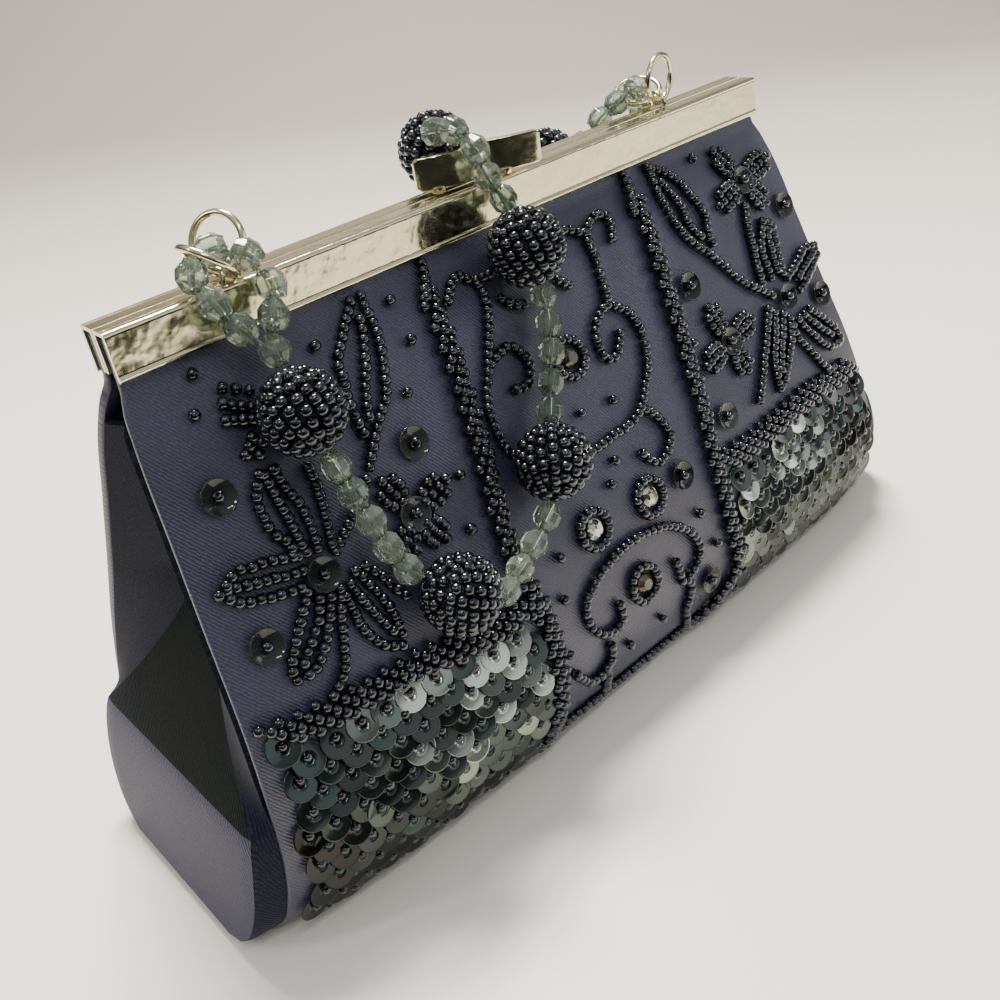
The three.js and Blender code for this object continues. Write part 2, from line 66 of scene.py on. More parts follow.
def linear(hex_colour):
    channels = [int(hex_colour[i : i + 2], 16) / 255 for i in (0, 2, 4)]
    return [c / 12.92 if c <= 0.04045 else ((c + 0.055) / 1.055) ** 2.4 for c in channels] + [1.0]


def material(name):
    made = bpy.data.materials.new(name)
    made.use_nodes = True
    made.node_tree.nodes.clear()
    return made


def node(made, kind, settings=None, links=None):
    """Adds a node. settings are its properties or input values, links its inputs."""
    added = made.node_tree.nodes.new("ShaderNode" + kind)
    for key, value in (settings or {}).items():
        if isinstance(key, int) or key in added.inputs:
            added.inputs[key].default_value = value
        else:
            setattr(added, key, value)
    for key, output in (links or {}).items():
        made.node_tree.links.new(output, added.inputs[key])
    return added


def object_place(made):
    return node(made, "TexCoord").outputs["Object"]


def own_number(made):
    return node(made, "Attribute", {"attribute_name": "own"}).outputs["Fac"]


def noise(made, place, scale, detail, **settings):
    settings.update({"Scale": scale, "Detail": detail})
    return node(made, "TexNoise", settings, {"Vector": place}).outputs["Fac"]


def map_range(made, source, **limits):
    settings = {key.replace("_", " "): value for key, value in limits.items()}
    return node(made, "MapRange", settings, {"Value": source}).outputs[0]


def ramp(made, source, *stops):
    """A colour ramp node through stops of a position and a colour."""
    added = node(made, "ValToRGB", links={"Fac": source})
    elements = added.color_ramp.elements
    elements[0].position, elements[1].position = stops[0][0], stops[-1][0]
    elements[0].color, elements[1].color = linear(stops[0][1]), linear(stops[-1][1])
    for position, colour in stops[1:-1]:
        elements.new(position).color = linear(colour)
    return added


def bump(made, height, strength, distance, **below):
    settings = {"Strength": strength, "Distance": distance}
    return node(made, "Bump", settings, {"Height": height, **below}).outputs[0]


def finish_material(made, settings, links):
    shader = node(made, "BsdfPrincipled", settings, links)
    node(made, "OutputMaterial", links={"Surface": shader.outputs[0]})
    return made


# Half section from inside the frame to the middle of the bottom, in millimetres:
# distance out from the middle, height, half length, and share of the belly's puff.
BODY_SECTION = np.array(
    [
        (3.7, 118.9, 89.7, 0),
        (3.7, 110.6, 89.7, 0),
        (5.5, 106.1, 91.3, 0.2),
        (8.2, 100.6, 92.5, 0.4),
        (14.7, 84.6, 94.6, 0.6),
        (21.7, 67, 96.8, 0.75),
        (28, 51.8, 98.7, 0.9),
        (32.9, 35.1, 100.9, 1),
        (34.8, 24, 102.4, 1),
        (34.2, 14.5, 104, 1),
        (30.5, 6, 105.3, 0.95),
        (25.5, 1.5, 107.2, 0.9),
        (20, 0, 110.3, 0.7),
        (10.9, 0, 112, 0.3),
        (0, 0, 112.3, 0),
    ]
)
BELLY_PUFF = 4.5
INSIDE_FRAME = 8.3
BOARD = 2.0


def smooth_rows(table, steps):
    """A smooth curve through the table's rows, and the length along it of each point."""
    length = np.r_[0, np.cumsum(np.hypot(*np.diff(table[:, :2], axis=0).T))]
    slope = np.gradient(table, length, axis=0)
    slope[0] = slope[1] = (table[1] - table[0]) / (length[1] - length[0])
    slope[-1, 1] = 0
    rows, along = [], []
    for i in range(len(table) - 1):
        span = length[i + 1] - length[i]
        for t in np.arange(steps) / steps:
            rows.append(
                (2 * t**3 - 3 * t**2 + 1) * table[i]
                + (t**3 - 2 * t**2 + t) * span * slope[i]
                + (3 * t**2 - 2 * t**3) * table[i + 1]
                + (t**3 - t**2) * span * slope[i + 1]
            )
            along.append(length[i] + t * span)
    return np.array(rows + [table[-1]]), np.array(along + [length[-1]])


body_rows, body_along = smooth_rows(BODY_SECTION, 12)
body_along = body_along - INSIDE_FRAME
BOTTOM_MIDDLE = body_along[-1]


def section_at(s):
    return [np.interp(s, body_along, body_rows[:, k]) for k in range(4)]


def on_front(x, s, lift=0.0):
    """Point in millimetres on the front: x along the bag, s down from the mouth."""
    x, s = np.asarray(x, float), np.asarray(s, float)
    out, height, half_length, puff = section_at(s)
    step = 0.4
    low, high = section_at(s + step), section_at(s - step)
    run = np.hypot(low[0] - high[0], low[1] - high[1]) + 1e-9
    y = -out - BELLY_PUFF * puff * (1 - np.clip(np.abs(x) / half_length, 0, 1) ** 4)
    normal_y, normal_z = -np.abs(low[1] - high[1]) / run, (low[0] - high[0]) / run
    below = s > BOTTOM_MIDDLE - step
    normal_y, normal_z = np.where(below, 0, normal_y), np.where(below, -1, normal_z)
    flat = (height < 0.05) & (s > 60)
    normal_y, normal_z = np.where(flat, 0, normal_y), np.where(flat, -1, normal_z)
    return np.stack([x, y + normal_y * lift, height + normal_z * lift], -1)


def new_object(name, points, faces, smooth=True):
    """A mesh object from points in millimetres."""
    mesh = bpy.data.meshes.new(name)
    mesh.from_pydata((np.asarray(points) * MM).tolist(), [], [list(f) for f in faces])
    mesh.update()
    made = bpy.data.objects.new(name, mesh)
    bpy.context.scene.collection.objects.link(made)
    if smooth:
        mesh.polygons.foreach_set("use_smooth", [True] * len(mesh.polygons))
    return made


def grid_faces(rows, columns, turned=False):
    a = np.arange((rows - 1) * columns).reshape(rows - 1, columns)[:, :-1].ravel()
    quads = np.stack([a, a + 1, a + columns + 1, a + columns], 1)
    return (quads[:, ::-1] if turned else quads).tolist()


def pick(piece):
    """Makes this the only selected object."""
    bpy.ops.object.select_all(action="DESELECT")
    bpy.context.view_layer.objects.active = piece
    piece.select_set(True)


def apply_modifier(piece, kind, **settings):
    pick(piece)
    added = piece.modifiers.new(kind, kind)
    for key, value in settings.items():
        setattr(added, key, value)
    bpy.ops.object.modifier_apply(modifier=added.name)


def make_cloth_uv(piece, across, down):
    """Lays the cloth flat: one UV unit is a metre of satin. across and down are in
    millimetres, a row of across for each of down."""
    layer = piece.data.uv_layers.new(name="cloth")
    corner = np.empty(len(piece.data.loops), int)
    piece.data.loops.foreach_get("vertex_index", corner)
    down = np.broadcast_to(np.asarray(down)[:, None], across.shape)
    layer.data.foreach_set("uv", np.stack([across, down], -1).reshape(-1, 2)[corner].ravel() * MM)


def edit(piece):
    pick(piece)
    bpy.ops.object.mode_set(mode="EDIT")
    bpy.ops.mesh.select_all(action="DESELECT")
    bpy.ops.mesh.select_mode(type="FACE")


def join(pieces):
    bpy.ops.object.select_all(action="DESELECT")
    for piece in pieces:
        piece.select_set(True)
    bpy.context.view_layer.objects.active = pieces[0]
    bpy.ops.object.join()
    return bpy.context.object


def make_wire(name, points, diameter, closed=False, roundness=2):
    """A round wire or thread through points in millimetres."""
    curve = bpy.data.curves.new(name, "CURVE")
    curve.dimensions = "3D"
    curve.bevel_depth = diameter / 2 * MM
    curve.bevel_resolution = roundness
    spline = curve.splines.new("POLY")
    spline.points.add(len(points) - 1)
    spline.points.foreach_set("co", np.c_[np.asarray(points) * MM, np.ones(len(points))].ravel())
    spline.use_cyclic_u = closed
    made = bpy.data.objects.new(name, curve)
    bpy.context.scene.collection.objects.link(made)
    pick(made)
    bpy.ops.object.convert(target="MESH")
    return bpy.context.object


satin = material("duchess_satin_slate")
# Warp-faced satin: a fine diagonal twill, broad soft sheen, and faint slubs and rubs
# that let the eye see it is cloth over board.
satin_uv = node(satin, "UVMap", {"uv_map": "cloth"}).outputs[0]
TWILL_TURN = 0.62
thread = node(satin, "Mapping", {"Rotation": (0, 0, TWILL_TURN)}, {"Vector": satin_uv}).outputs[0]
THREAD_SPACING = 0.62
# The length of one wave of the wave texture at scale 1.
UNIT_WAVE = 0.314
twill = node(
    satin,
    "TexWave",
    {"Scale": UNIT_WAVE / (THREAD_SPACING * MM), "Distortion": 3, "Detail": 2, "Detail Scale": 2},
    {"Vector": thread},
).outputs["Fac"]
slub_place = node(satin, "Mapping", {"Scale": (3800, 1500, 1)}, {"Vector": thread}).outputs[0]
slubs = noise(satin, slub_place, 1, 2)
satin_tone = ramp(satin, noise(satin, satin_uv, 30, 2), (0.3, "2a2b43"), (0.75, "353652"))
yarn = map_range(satin, slubs, From_Min=0.3, From_Max=0.7, To_Min=0.4, To_Max=1.35)
twill_shade = map_range(satin, twill, To_Min=0.55, To_Max=1.3)
thread_shade = node(satin, "Math", {"operation": "MULTIPLY"}, {0: yarn, 1: twill_shade})
satin_weave_tone = node(
    satin,
    "Mix",
    {"data_type": "RGBA", "blend_type": "MULTIPLY", "Factor": 1.0},
    {6: satin_tone.outputs[0], 7: thread_shade.outputs[0]},
)
WEAVE_RELIEF = 0.00012
satin_bump = bump(satin, slubs, 0.5, WEAVE_RELIEF, Normal=bump(satin, twill, 0.4, WEAVE_RELIEF))
finish_material(
    satin,
    {
        "Roughness": 0.42,
        "Specular IOR Level": 0.75,
        "Sheen Weight": 0.12,
        "Sheen Roughness": 0.3,
        "Sheen Tint": linear("9794b6"),
    },
    {"Base Color": satin_weave_tone.outputs[2], "Normal": satin_bump},
)

# The columns lie closer together towards the ends of the bag.
BODY_COLUMNS = 113
COLUMN_BEND = math.pi / 2 * 0.85
column_share = np.sin(np.linspace(-1, 1, BODY_COLUMNS) * COLUMN_BEND) / math.sin(COLUMN_BEND)
front_s = np.r_[np.arange(-8.2, 0, 2.7), np.arange(0, BOTTOM_MIDDLE, 1.6)]
body_s = np.r_[front_s, BOTTOM_MIDDLE, 2 * BOTTOM_MIDDLE - front_s[::-1]]
body_points, body_width = [], []
for s in body_s:
    rear = s > BOTTOM_MIDDLE
    at = 2 * BOTTOM_MIDDLE - s if rear else s
    x = column_share * section_at(at)[2]
    row = on_front(x, np.full(BODY_COLUMNS, at))
    if rear:
        row[:, 1] *= -1
    body_points.append(row)
    body_width.append(x)
satin_body = new_object(
    "satin_body_cover",
    np.concatenate(body_points),
    grid_faces(len(body_s), BODY_COLUMNS, turned=True),
)
make_cloth_uv(satin_body, np.array(body_width), body_s)
satin_body.data.materials.append(satin)
apply_modifier(
    satin_body, "SOLIDIFY", thickness=BOARD * MM, offset=-1, use_even_offset=True, use_rim=True
)
apply_modifier(
    satin_body, "BEVEL", width=0.5 * MM, segments=2, limit_method="ANGLE", angle_limit=1.0
)
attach(satin_body, "root")
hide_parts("satin_body")

# Folded sides. The same satin without board, glued inside the ends of the body. Above
# the apex it folds inwards, below it a flat triangle slopes out to a ridge, and the
# bottom part bellies out.
HEM_HEIGHT = 102
APEX_HEIGHT = 68
APEX_INSET = 84
RIDGE_HEIGHT = 30
RIDGE_REACH = 4
SEAM_INSET = 1.2
FLOOR = 2.3
GUSSET_COLUMNS = 61
FRAME_HALF = 90

fold_satin = satin.copy()
fold_satin.name = "duchess_satin_folded_side"
# The same satin with painted shade. Down to the ridge the triangle is painted nearly black with a green
# cast, and the fold above the apex and the strips beside the seams are painted dark: painted shade
# where the satin faces the dark room. Below the ridge it shows a lighter purple, near the satin's own.
fold_nodes = fold_satin.node_tree
fold_shade_level = node(fold_satin, "Attribute", {"attribute_name": "painted_fold_shade"}).outputs["Fac"]
fold_painted_tone = ramp(fold_satin, fold_shade_level, (0, "121a19"), (0.4, "1b1e2f"), (1, "2c2b49"))
fold_gloss = map_range(fold_satin, fold_shade_level, To_Min=0.75, To_Max=0.5)
fold_shine = map_range(fold_satin, fold_shade_level, To_Min=0.08, To_Max=0.22)
for part in fold_nodes.nodes:
    if part.type == "BSDF_PRINCIPLED":
        fold_nodes.links.new(fold_gloss, part.inputs["Roughness"])
        fold_nodes.links.new(fold_shine, part.inputs["Specular IOR Level"])
    if part.type == "MIX":
        fold_nodes.links.new(fold_painted_tone.outputs[0], part.inputs[6])


def inside_half_depth(z):
    """Half the depth inside the board at the ends of the bag, without the belly's puff."""
    inner = on_front(np.full(len(body_along), float(FRAME_HALF)), body_along, -BOARD - 0.3)
    below_mouth = slice(int(np.searchsorted(body_along, 0.0)), None)
    z_inner, y_inner = inner[below_mouth, 2], -inner[below_mouth, 1]
    puff = BELLY_PUFF * section_at(body_along[below_mouth])[3] * (1 - (FRAME_HALF / 100) ** 4)
    order = np.argsort(z_inner)
    return np.interp(z, z_inner[order], (y_inner - puff)[order])


def half_length_at(z):
    falling = body_rows[:, 1] + 1e-6 * np.arange(len(body_rows))[::-1]
    order = np.argsort(falling)
    return np.interp(z, falling[order], body_rows[order, 2])


def make_gusset(side, name, node_name):
    heights = np.r_[
        np.linspace(HEM_HEIGHT, APEX_HEIGHT, 20)[:-1],
        np.linspace(APEX_HEIGHT, RIDGE_HEIGHT, 28)[:-1],
        np.linspace(RIDGE_HEIGHT, FLOOR + 0.05, 24),
    ]
    points, inside_crease, laid_flat = [], [], []
    hem_inset = FRAME_HALF - SEAM_INSET
    ridge_edge = half_length_at(RIDGE_HEIGHT) - SEAM_INSET
    for z in heights:
        depth = max(inside_half_depth(z), 1.5)
        edge = half_length_at(z) - SEAM_INSET
        below = np.clip((RIDGE_HEIGHT - z) / (RIDGE_HEIGHT - FLOOR), 0, 1)
        slope = np.clip((APEX_HEIGHT - z) / (APEX_HEIGHT - RIDGE_HEIGHT), 0, 1)
        rise = (z - APEX_HEIGHT) / (HEM_HEIGHT - APEX_HEIGHT)
        crease = 0.05 + 0.9 * slope
        middle = APEX_INSET + (hem_inset - APEX_INSET) * max(rise, 0)
        if slope > 0:
            middle = APEX_INSET + (ridge_edge + RIDGE_REACH - APEX_INSET) * slope
        if below > 0:
            middle = ridge_edge + RIDGE_REACH
            middle += (BODY_SECTION[-1, 2] - SEAM_INSET / 2 - middle) * below**0.8
        wing = np.linspace(1, 0, (GUSSET_COLUMNS + 3) // 4)[:-1]
        wing = crease + (1 - crease) * wing
        flat = np.linspace(-crease, crease, GUSSET_COLUMNS - 2 * len(wing))
        share = np.r_[-wing, flat, wing[::-1]]
        past = np.maximum(np.abs(share) - crease, 0) / (1 - crease)
        x = middle + (edge - middle) * past
        points.append(np.stack([side * x, share * depth, np.full(GUSSET_COLUMNS, z)], 1))
        inside_crease.append(np.abs(share[1:] + share[:-1]) / 2 < crease)
        run = np.r_[0, np.cumsum(np.hypot(np.diff(x), np.diff(share * depth)))]
        laid_flat.append(run - run[-1] / 2)
    made = new_object(
        name,
        np.concatenate(points),
        grid_faces(len(heights), GUSSET_COLUMNS, turned=side < 0),
    )
    make_cloth_uv(made, np.array(laid_flat), heights)
    # painted_fold_shade is painted shade for each face: 0 paints the triangle darkest, 0.4 paints the
    # fold above the apex and the side strips dark, 1 keeps the lighter purple below the ridge.
    painted_fold_shade = made.data.attributes.new("painted_fold_shade", "FLOAT", "FACE")
    middles = ((heights[:-1] + heights[1:]) / 2)[:, None]
    lower = np.where(middles < RIDGE_HEIGHT, 1.0, 0.0)
    shade = np.where(np.array(inside_crease[1:]) & (middles < APEX_HEIGHT), lower, 0.4)
    painted_fold_shade.data.foreach_set("value", shade.ravel())
    made.data.materials.append(fold_satin)
    apply_modifier(made, "SOLIDIFY", thickness=1.5 * MM, offset=-1)
    bpy.ops.object.shade_smooth_by_angle(angle=0.22)
    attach(made, "root")
    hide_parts(node_name)


make_gusset(-1, "side_fold_left", "gusset_left")
make_gusset(1, "side_fold_right", "gusset_right")

# Frame. Two channels of pressed steel with polished nickel plate, each over an edge of
# the body. The plate was planished before plating, so reflections break up in soft
# dimples.
nickel = material("polished_nickel_planished")
nickel_place = object_place(nickel)
DIMPLE = 3.5
dimples = noise(nickel, nickel_place, 1 / (DIMPLE * MM), 2, Roughness=0.45)
scuffs = noise(nickel, nickel_place, 900, 3, Roughness=0.6)
nickel_dimples = bump(nickel, dimples, 0.3, 0.0006)
finish_material(
    nickel,
    {"Base Color": linear("d8d0ac"), "Metallic": 1.0},
    {
        "Roughness": map_range(nickel, scuffs, To_Min=0.09, To_Max=0.24),
        "Normal": bump(nickel, scuffs, 0.05, 0.0002, Normal=nickel_dimples),
    },
)

# Outline of the front half across the frame: distance from the middle and height. The
# top has a rib along its edge, and the lower lip is rolled outwards.
FRAME_OUTLINE = [
    (0.15, 111.9), (0.15, 119.6), (0.3, 119.88), (0.6, 119.95), (2.9, 119.95), (3.05, 119.85),
    (3.15, 119.7), (3.3, 119.85), (3.5, 120), (4, 120), (4.35, 119.92), (4.62, 119.7), (4.77, 119.4),
    (4.8, 119), (4.8, 112.5), (4.86, 112.2), (5.05, 112.05), (5.18, 111.85), (5.2, 111.6),
    (5.12, 111.3), (4.95, 111.1), (4.7, 111), (4.3, 111.1), (4, 111.4), (4, 119.2), (0.95, 119.2),
    (0.95, 111.9),
]


def nickel_piece(piece, name, node_name, sharp=0.5):
    piece.name = name
    piece.data.materials.clear()
    piece.data.materials.append(nickel)
    pick(piece)
    bpy.ops.object.shade_smooth_by_angle(angle=sharp)
    apply_modifier(piece, "WEIGHTED_NORMAL", keep_sharp=True)
    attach(piece, "root")
    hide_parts(node_name)


for side, name in ((-1, "front"), (1, "rear")):
    stations = np.linspace(-FRAME_HALF, FRAME_HALF, 31)
    ring = FRAME_OUTLINE + FRAME_OUTLINE[:1]
    channel = new_object(
        name,
        [(x, side * y, z) for x in stations for y, z in ring],
        grid_faces(len(stations), len(ring), turned=side < 0)
        + [list(range(len(FRAME_OUTLINE)))]
        + [[(len(stations) - 1) * len(ring) + k for k in range(len(FRAME_OUTLINE))]],
    )
    edit(channel)
    bpy.ops.mesh.select_all(action="SELECT")
    bpy.ops.mesh.remove_doubles(threshold=0.00001)
    bpy.ops.mesh.normals_make_consistent(inside=False)
    bpy.ops.object.mode_set(mode="OBJECT")
    nickel_piece(channel, f"frame_half_{name}", f"frame_{name}")

# Clasp. Two bowed plates on low feet, one on each half, that snap past each other.
CLASP_LENGTH = 15
CLASP_HEIGHT = 6.6
CLASP_SHEET = 1.6
CLASP_BOW = 0.9
CLASP_LEVEL = 121
# The share of the half length up to where the ends are rounded off.
CLASP_FLAT = 0.86
for name, x, y, turn, foot in (
    ("left", -9.6, -0.3, -0.37, -0.42),
    ("right", 3.9, -3.2, -0.49, -0.12),
):
    bpy.ops.mesh.primitive_cube_add(size=1)
    bar = bpy.context.object
    edit(bar)
    bpy.ops.mesh.select_all(action="SELECT")
    bpy.ops.mesh.subdivide(number_cuts=15)
    bpy.ops.object.mode_set(mode="OBJECT")
    for vertex in bar.data.vertices:
        across, deep, high = vertex.co * 2
        end = max(abs(across) - CLASP_FLAT, 0) / (1 - CLASP_FLAT)
        vertex.co = (
            across * CLASP_LENGTH / 2,
            deep * CLASP_SHEET / 2 * (1 - 0.35 * end**2) - CLASP_BOW * (1 - across**2),
            CLASP_LEVEL + CLASP_HEIGHT / 2 + high * (CLASP_HEIGHT / 2 - 0.8 * end**2),
        )
    # The foot's middle is a little below the plate's lower edge.
    foot_level = CLASP_LEVEL - 0.1
    bpy.ops.mesh.primitive_cylinder_add(vertices=24, radius=1.5, depth=1.2)
    bar_foot = bpy.context.object
    foot_place = (foot * CLASP_LENGTH / 2, -CLASP_BOW * (1 - foot**2), foot_level)
    bar_foot.data.transform(Matrix.Translation(foot_place))
    bar = join([bar, bar_foot])
    turned = Matrix.Translation((x, y, 0)) @ Matrix.Rotation(turn, 4, "Z")
    bar.data.transform(Matrix.Scale(MM, 4) @ turned)
    apply_modifier(bar, "BEVEL", width=0.4 * MM, segments=3, limit_method="ANGLE", angle_limit=1.0)
    nickel_piece(bar, f"clasp_plate_{name}", f"clasp_bar_{name}", 0.6)

# Eyelets and rings. A wire arch is soldered on each half near the ends, with two round
# wire rings in each.
RING_RADIUS = 5.3
RING_WIRE = 1.4
RINGS = [
    ("left_upright", (-63.1, 1, 125.8), (0.81, 0.46, -0.37)),
    ("left_strap", (-68.4, -4.7, 125), (0.7, 0.06, 0.72)),
    ("right_upright", (59.8, 1.3, 126.2), (-0.16, 0.98, 0.06)),
    ("right_strap", (59.6, 8.1, 123.1), (0.3, 0.26, -0.92)),
]
for name, place, facing in RINGS:
    bpy.ops.mesh.primitive_torus_add(
        major_segments=56, minor_segments=14, major_radius=RING_RADIUS, minor_radius=RING_WIRE / 2
    )
    wire_ring = bpy.context.object
    turned = Vector(facing).to_track_quat("Z", "Y").to_matrix().to_4x4()
    wire_ring.data.transform(Matrix.Scale(MM, 4) @ Matrix.Translation(place) @ turned)
    nickel_piece(wire_ring, f"wire_ring_{name}", f"ring_{name}", 1.2)

EYELET_RADIUS = 2.66
for name, x, y, turn in (("left", -64.2, -2.3, 0.63), ("right", 59.4, 2.4, math.pi / 2)):
    arch = [(-EYELET_RADIUS, 0.1)]
    for a in np.linspace(0, math.pi, 17):
        arch.append((-EYELET_RADIUS * math.cos(a), 0.55 + EYELET_RADIUS * math.sin(a)))
    arch.append((EYELET_RADIUS, 0.1))
    points = [(x + out * math.cos(turn), y + out * math.sin(turn), 119.9 + high) for out, high in arch]
    wire = make_wire(f"eyelet_arch_{name}", points, 0.95)
    nickel_piece(wire, f"eyelet_arch_{name}", f"eyelet_{name}", 1.2)

# Strap. A string of cut glass beads and beaded balls, pinched at each end into a closed
# loop that goes through the strap ring. It hangs from the left rings over the front, up
# across the clasp and behind the frame to the right rings.


def select_faces(piece, test):
    """Selects the faces whose normal and middle pass the test."""
    bpy.ops.object.mode_set(mode="OBJECT")
    for face in piece.data.polygons:
        face.select = test(face.normal, face.center)
    bpy.ops.object.mode_set(mode="EDIT")


def take_shape(piece):
    """A template's points, face corners and face starts. The template goes."""
    mesh = piece.data
    points = np.empty(len(mesh.vertices) * 3)
    corners = np.empty(len(mesh.loops), int)
    starts = np.empty(len(mesh.polygons), int)
    mesh.vertices.foreach_get("co", points)
    mesh.loops.foreach_get("vertex_index", corners)
    mesh.polygons.foreach_get("loop_start", starts)
    bpy.data.objects.remove(piece)
    return points.reshape(-1, 3), corners, starts


def unit(vectors):
    vectors = np.asarray(vectors, float)
    return vectors / np.maximum(np.linalg.norm(vectors, axis=-1, keepdims=True), 1e-9)


def strew(name, shape, places, axes, scales=1.0, spins=0.0, smooth=True, owns=None):
    """One mesh with a copy of a shape at each place, its Z along the axis there. The
    attribute "own" gives each copy the number in owns, or else a random one."""
    points, corners, starts = shape
    places, axes = np.asarray(places, float), unit(axes)
    count = len(places)
    up = np.where(np.abs(axes[:, 2:3]) < 0.9, (0.0, 0.0, 1.0), (1.0, 0.0, 0.0))
    side = unit(np.cross(up, axes))
    over = np.cross(axes, side)
    spins = np.broadcast_to(spins, count)[:, None]
    first = np.cos(spins) * side + np.sin(spins) * over
    second = np.cos(spins) * over - np.sin(spins) * side
    scales = np.broadcast_to(np.asarray(scales, float).reshape(-1, 1), (count, 1))[:, :, None]
    turned = (
        points[None, :, :1] * first[:, None]
        + points[None, :, 1:2] * second[:, None]
        + points[None, :, 2:] * axes[:, None]
    )
    all_points = (places[:, None] + turned * scales) * MM
    mesh = bpy.data.meshes.new(name)
    mesh.vertices.add(count * len(points))
    mesh.loops.add(count * len(corners))
    mesh.polygons.add(count * len(starts))
    copies = np.arange(count)[:, None]
    mesh.vertices.foreach_set("co", all_points.ravel())
    mesh.loops.foreach_set("vertex_index", (corners + copies * len(points)).ravel())
    mesh.polygons.foreach_set("loop_start", (starts + copies * len(corners)).ravel())
    mesh.polygons.foreach_set("use_smooth", [smooth] * (count * len(starts)))
    own = mesh.attributes.new("own", "FLOAT", "POINT")
    owns = chance.random(count) if owns is None else owns
    own.data.foreach_set("value", np.repeat(owns, len(points)))
    mesh.update(calc_edges=True)
    made = bpy.data.objects.new(name, mesh)
    bpy.context.scene.collection.objects.link(made)
    return made


def smooth_line(points, pitch):
    """Evenly spaced places on a smooth line through the points, and its direction."""
    points = np.asarray(points, float)
    ends = np.concatenate([[2 * points[0] - points[1]], points, [2 * points[-1] - points[-2]]])
    fine = []
    for a, b, c, d in zip(ends, ends[1:], ends[2:], ends[3:]):
        bend, twist = 2 * a - 5 * b + 4 * c - d, 3 * b - a - 3 * c + d
        for t in np.arange(12) / 12:
            fine.append(0.5 * (2 * b + (c - a) * t + bend * t**2 + twist * t**3))
    fine = np.array(fine + [points[-1]])
    along = np.r_[0, np.cumsum(np.linalg.norm(np.diff(fine, axis=0), axis=1))]
    count = max(int(round(along[-1] / pitch)), 1)
    stations = np.linspace(0, along[-1], count + 1)
    places = np.stack([np.interp(stations, along, fine[:, k]) for k in range(fine.shape[1])], 1)
    return places, unit(np.gradient(places, axis=0))


chance = np.random.default_rng(7)

# The cut bead: ten long facets round the middle and ten at each end, round a bore.
BEAD_LENGTH = 5.6
BEAD_WIDTH = 5.8
BEAD_SIDES = 10
BORE = 1.0
BEAD_WAIST = 0.36
BEAD_END = 0.56
bpy.ops.mesh.primitive_cylinder_add(
    vertices=BEAD_SIDES, radius=BEAD_WIDTH / 2, depth=BEAD_LENGTH * BEAD_WAIST
)
cut_bead = bpy.context.object
edit(cut_bead)
for end in (-1, 1):
    select_faces(cut_bead, lambda normal, middle: normal.z * end > 0.9)
    rise = (0, 0, end * BEAD_LENGTH * (1 - BEAD_WAIST) / 2)
    bpy.ops.mesh.extrude_region_move(TRANSFORM_OT_translate={"value": rise})
    bpy.ops.transform.resize(value=(BEAD_END, BEAD_END, 1))
select_faces(cut_bead, lambda normal, middle: abs(normal.z) > 0.9)
bpy.ops.mesh.inset(thickness=BEAD_WIDTH / 2 * BEAD_END - BORE / 2)
bpy.ops.mesh.bridge_edge_loops()
bpy.ops.object.mode_set(mode="OBJECT")
apply_modifier(cut_bead, "BEVEL", width=0.12, segments=1, limit_method="ANGLE", angle_limit=0.3)
cut_bead_shape = take_shape(cut_bead)

glass = material("cut_glass_grey_green")
# Pale grey-green cut glass, a little cloudy, so each bead is lighter where light gathers
# and its facets show as thin bright lines.
glass_tone = ramp(glass, own_number(glass), (0, "9dad9e"), (1, "bcc8b8"))
finish_material(
    glass,
    {"Roughness": 0.03, "IOR": 1.48, "Transmission Weight": 0.85},
    {"Base Color": glass_tone.outputs[0]},
)

nylon = material("clear_nylon_thread")
# Thin clear nylon, nearly white inside the beads.
nylon_cloud = noise(nylon, object_place(nylon), 700, 1)
nylon_tone = ramp(nylon, nylon_cloud, (0, "b4b8aa"), (1, "d6d8cc"))
nylon_links = {"Base Color": nylon_tone.outputs[0]}
finish_material(nylon, {"Roughness": 0.3, "Transmission Weight": 0.4}, nylon_links)


def make_string(name, node_name, beads, thread, closed=False):
    """Cut beads on a thread. Each bead lies along the thread where it is."""
    beads = np.asarray(beads, float)
    if closed:
        ahead_of = np.roll(beads, -1, axis=0) - np.roll(beads, 1, axis=0)
        ahead_of[0] = closed
    else:
        ahead_of = np.gradient(beads, axis=0)
    spins = chance.random(len(beads)) * 6
    made = strew(name, cut_bead_shape, beads, ahead_of, spins=spins, smooth=False)
    made.data.materials.append(glass)
    cord = make_wire(name + "_thread", thread, 0.5, bool(closed), 1)
    cord.data.materials.append(nylon)
    made = join([made, cord])
    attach(made, "root")
    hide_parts(node_name)


# The balls' middles and the beads between them, in millimetres.
BALLS = np.array([
    (-66.4, -19.7, 99.2), (-53.4, -38, 58.9), (-20.9, -32.9, 70.6), (-5.8, -16.5, 108.7),
    (-3.2, 11.1, 125.4), (31.4, 13.8, 112.7),
])
RUNS = [
    [
        (-64.6, -23.3, 88.3), (-63.8, -25.6, 82.8), (-63, -28.1, 77.3), (-61.9, -30, 71.6),
        (-60, -32, 66.2),
    ],
    [(-43.1, -38.8, 53.6), (-37.5, -37.1, 55), (-31.9, -36.1, 57.5), (-26.8, -35.2, 61)],
    [
        (-14.1, -26.2, 77.2), (-10.9, -24.2, 82.2), (-8, -22.5, 87.5), (-5.1, -19.5, 92.2),
        (-3.2, -16.8, 97.5),
    ],
    [
        (-3.7, -9.1, 117.2), (-6.5, -8.4, 122.5), (-8, -7.5, 128.2), (-8.9, -2.9, 131.8),
        (-9.1, 3, 131.2),
    ],
    [
        (0.2, 12.2, 114.5), (4.3, 12.3, 110.3), (9.4, 12.1, 107.8), (14.9, 11.3, 108.9),
        (20.3, 10.9, 110.9),
    ],
]
for number, run in enumerate(RUNS):
    thread = [BALLS[number], *run, BALLS[number + 1]]
    make_string(f"cut_bead_run_{number + 1}", f"bead_run_{number + 1}", run, thread)

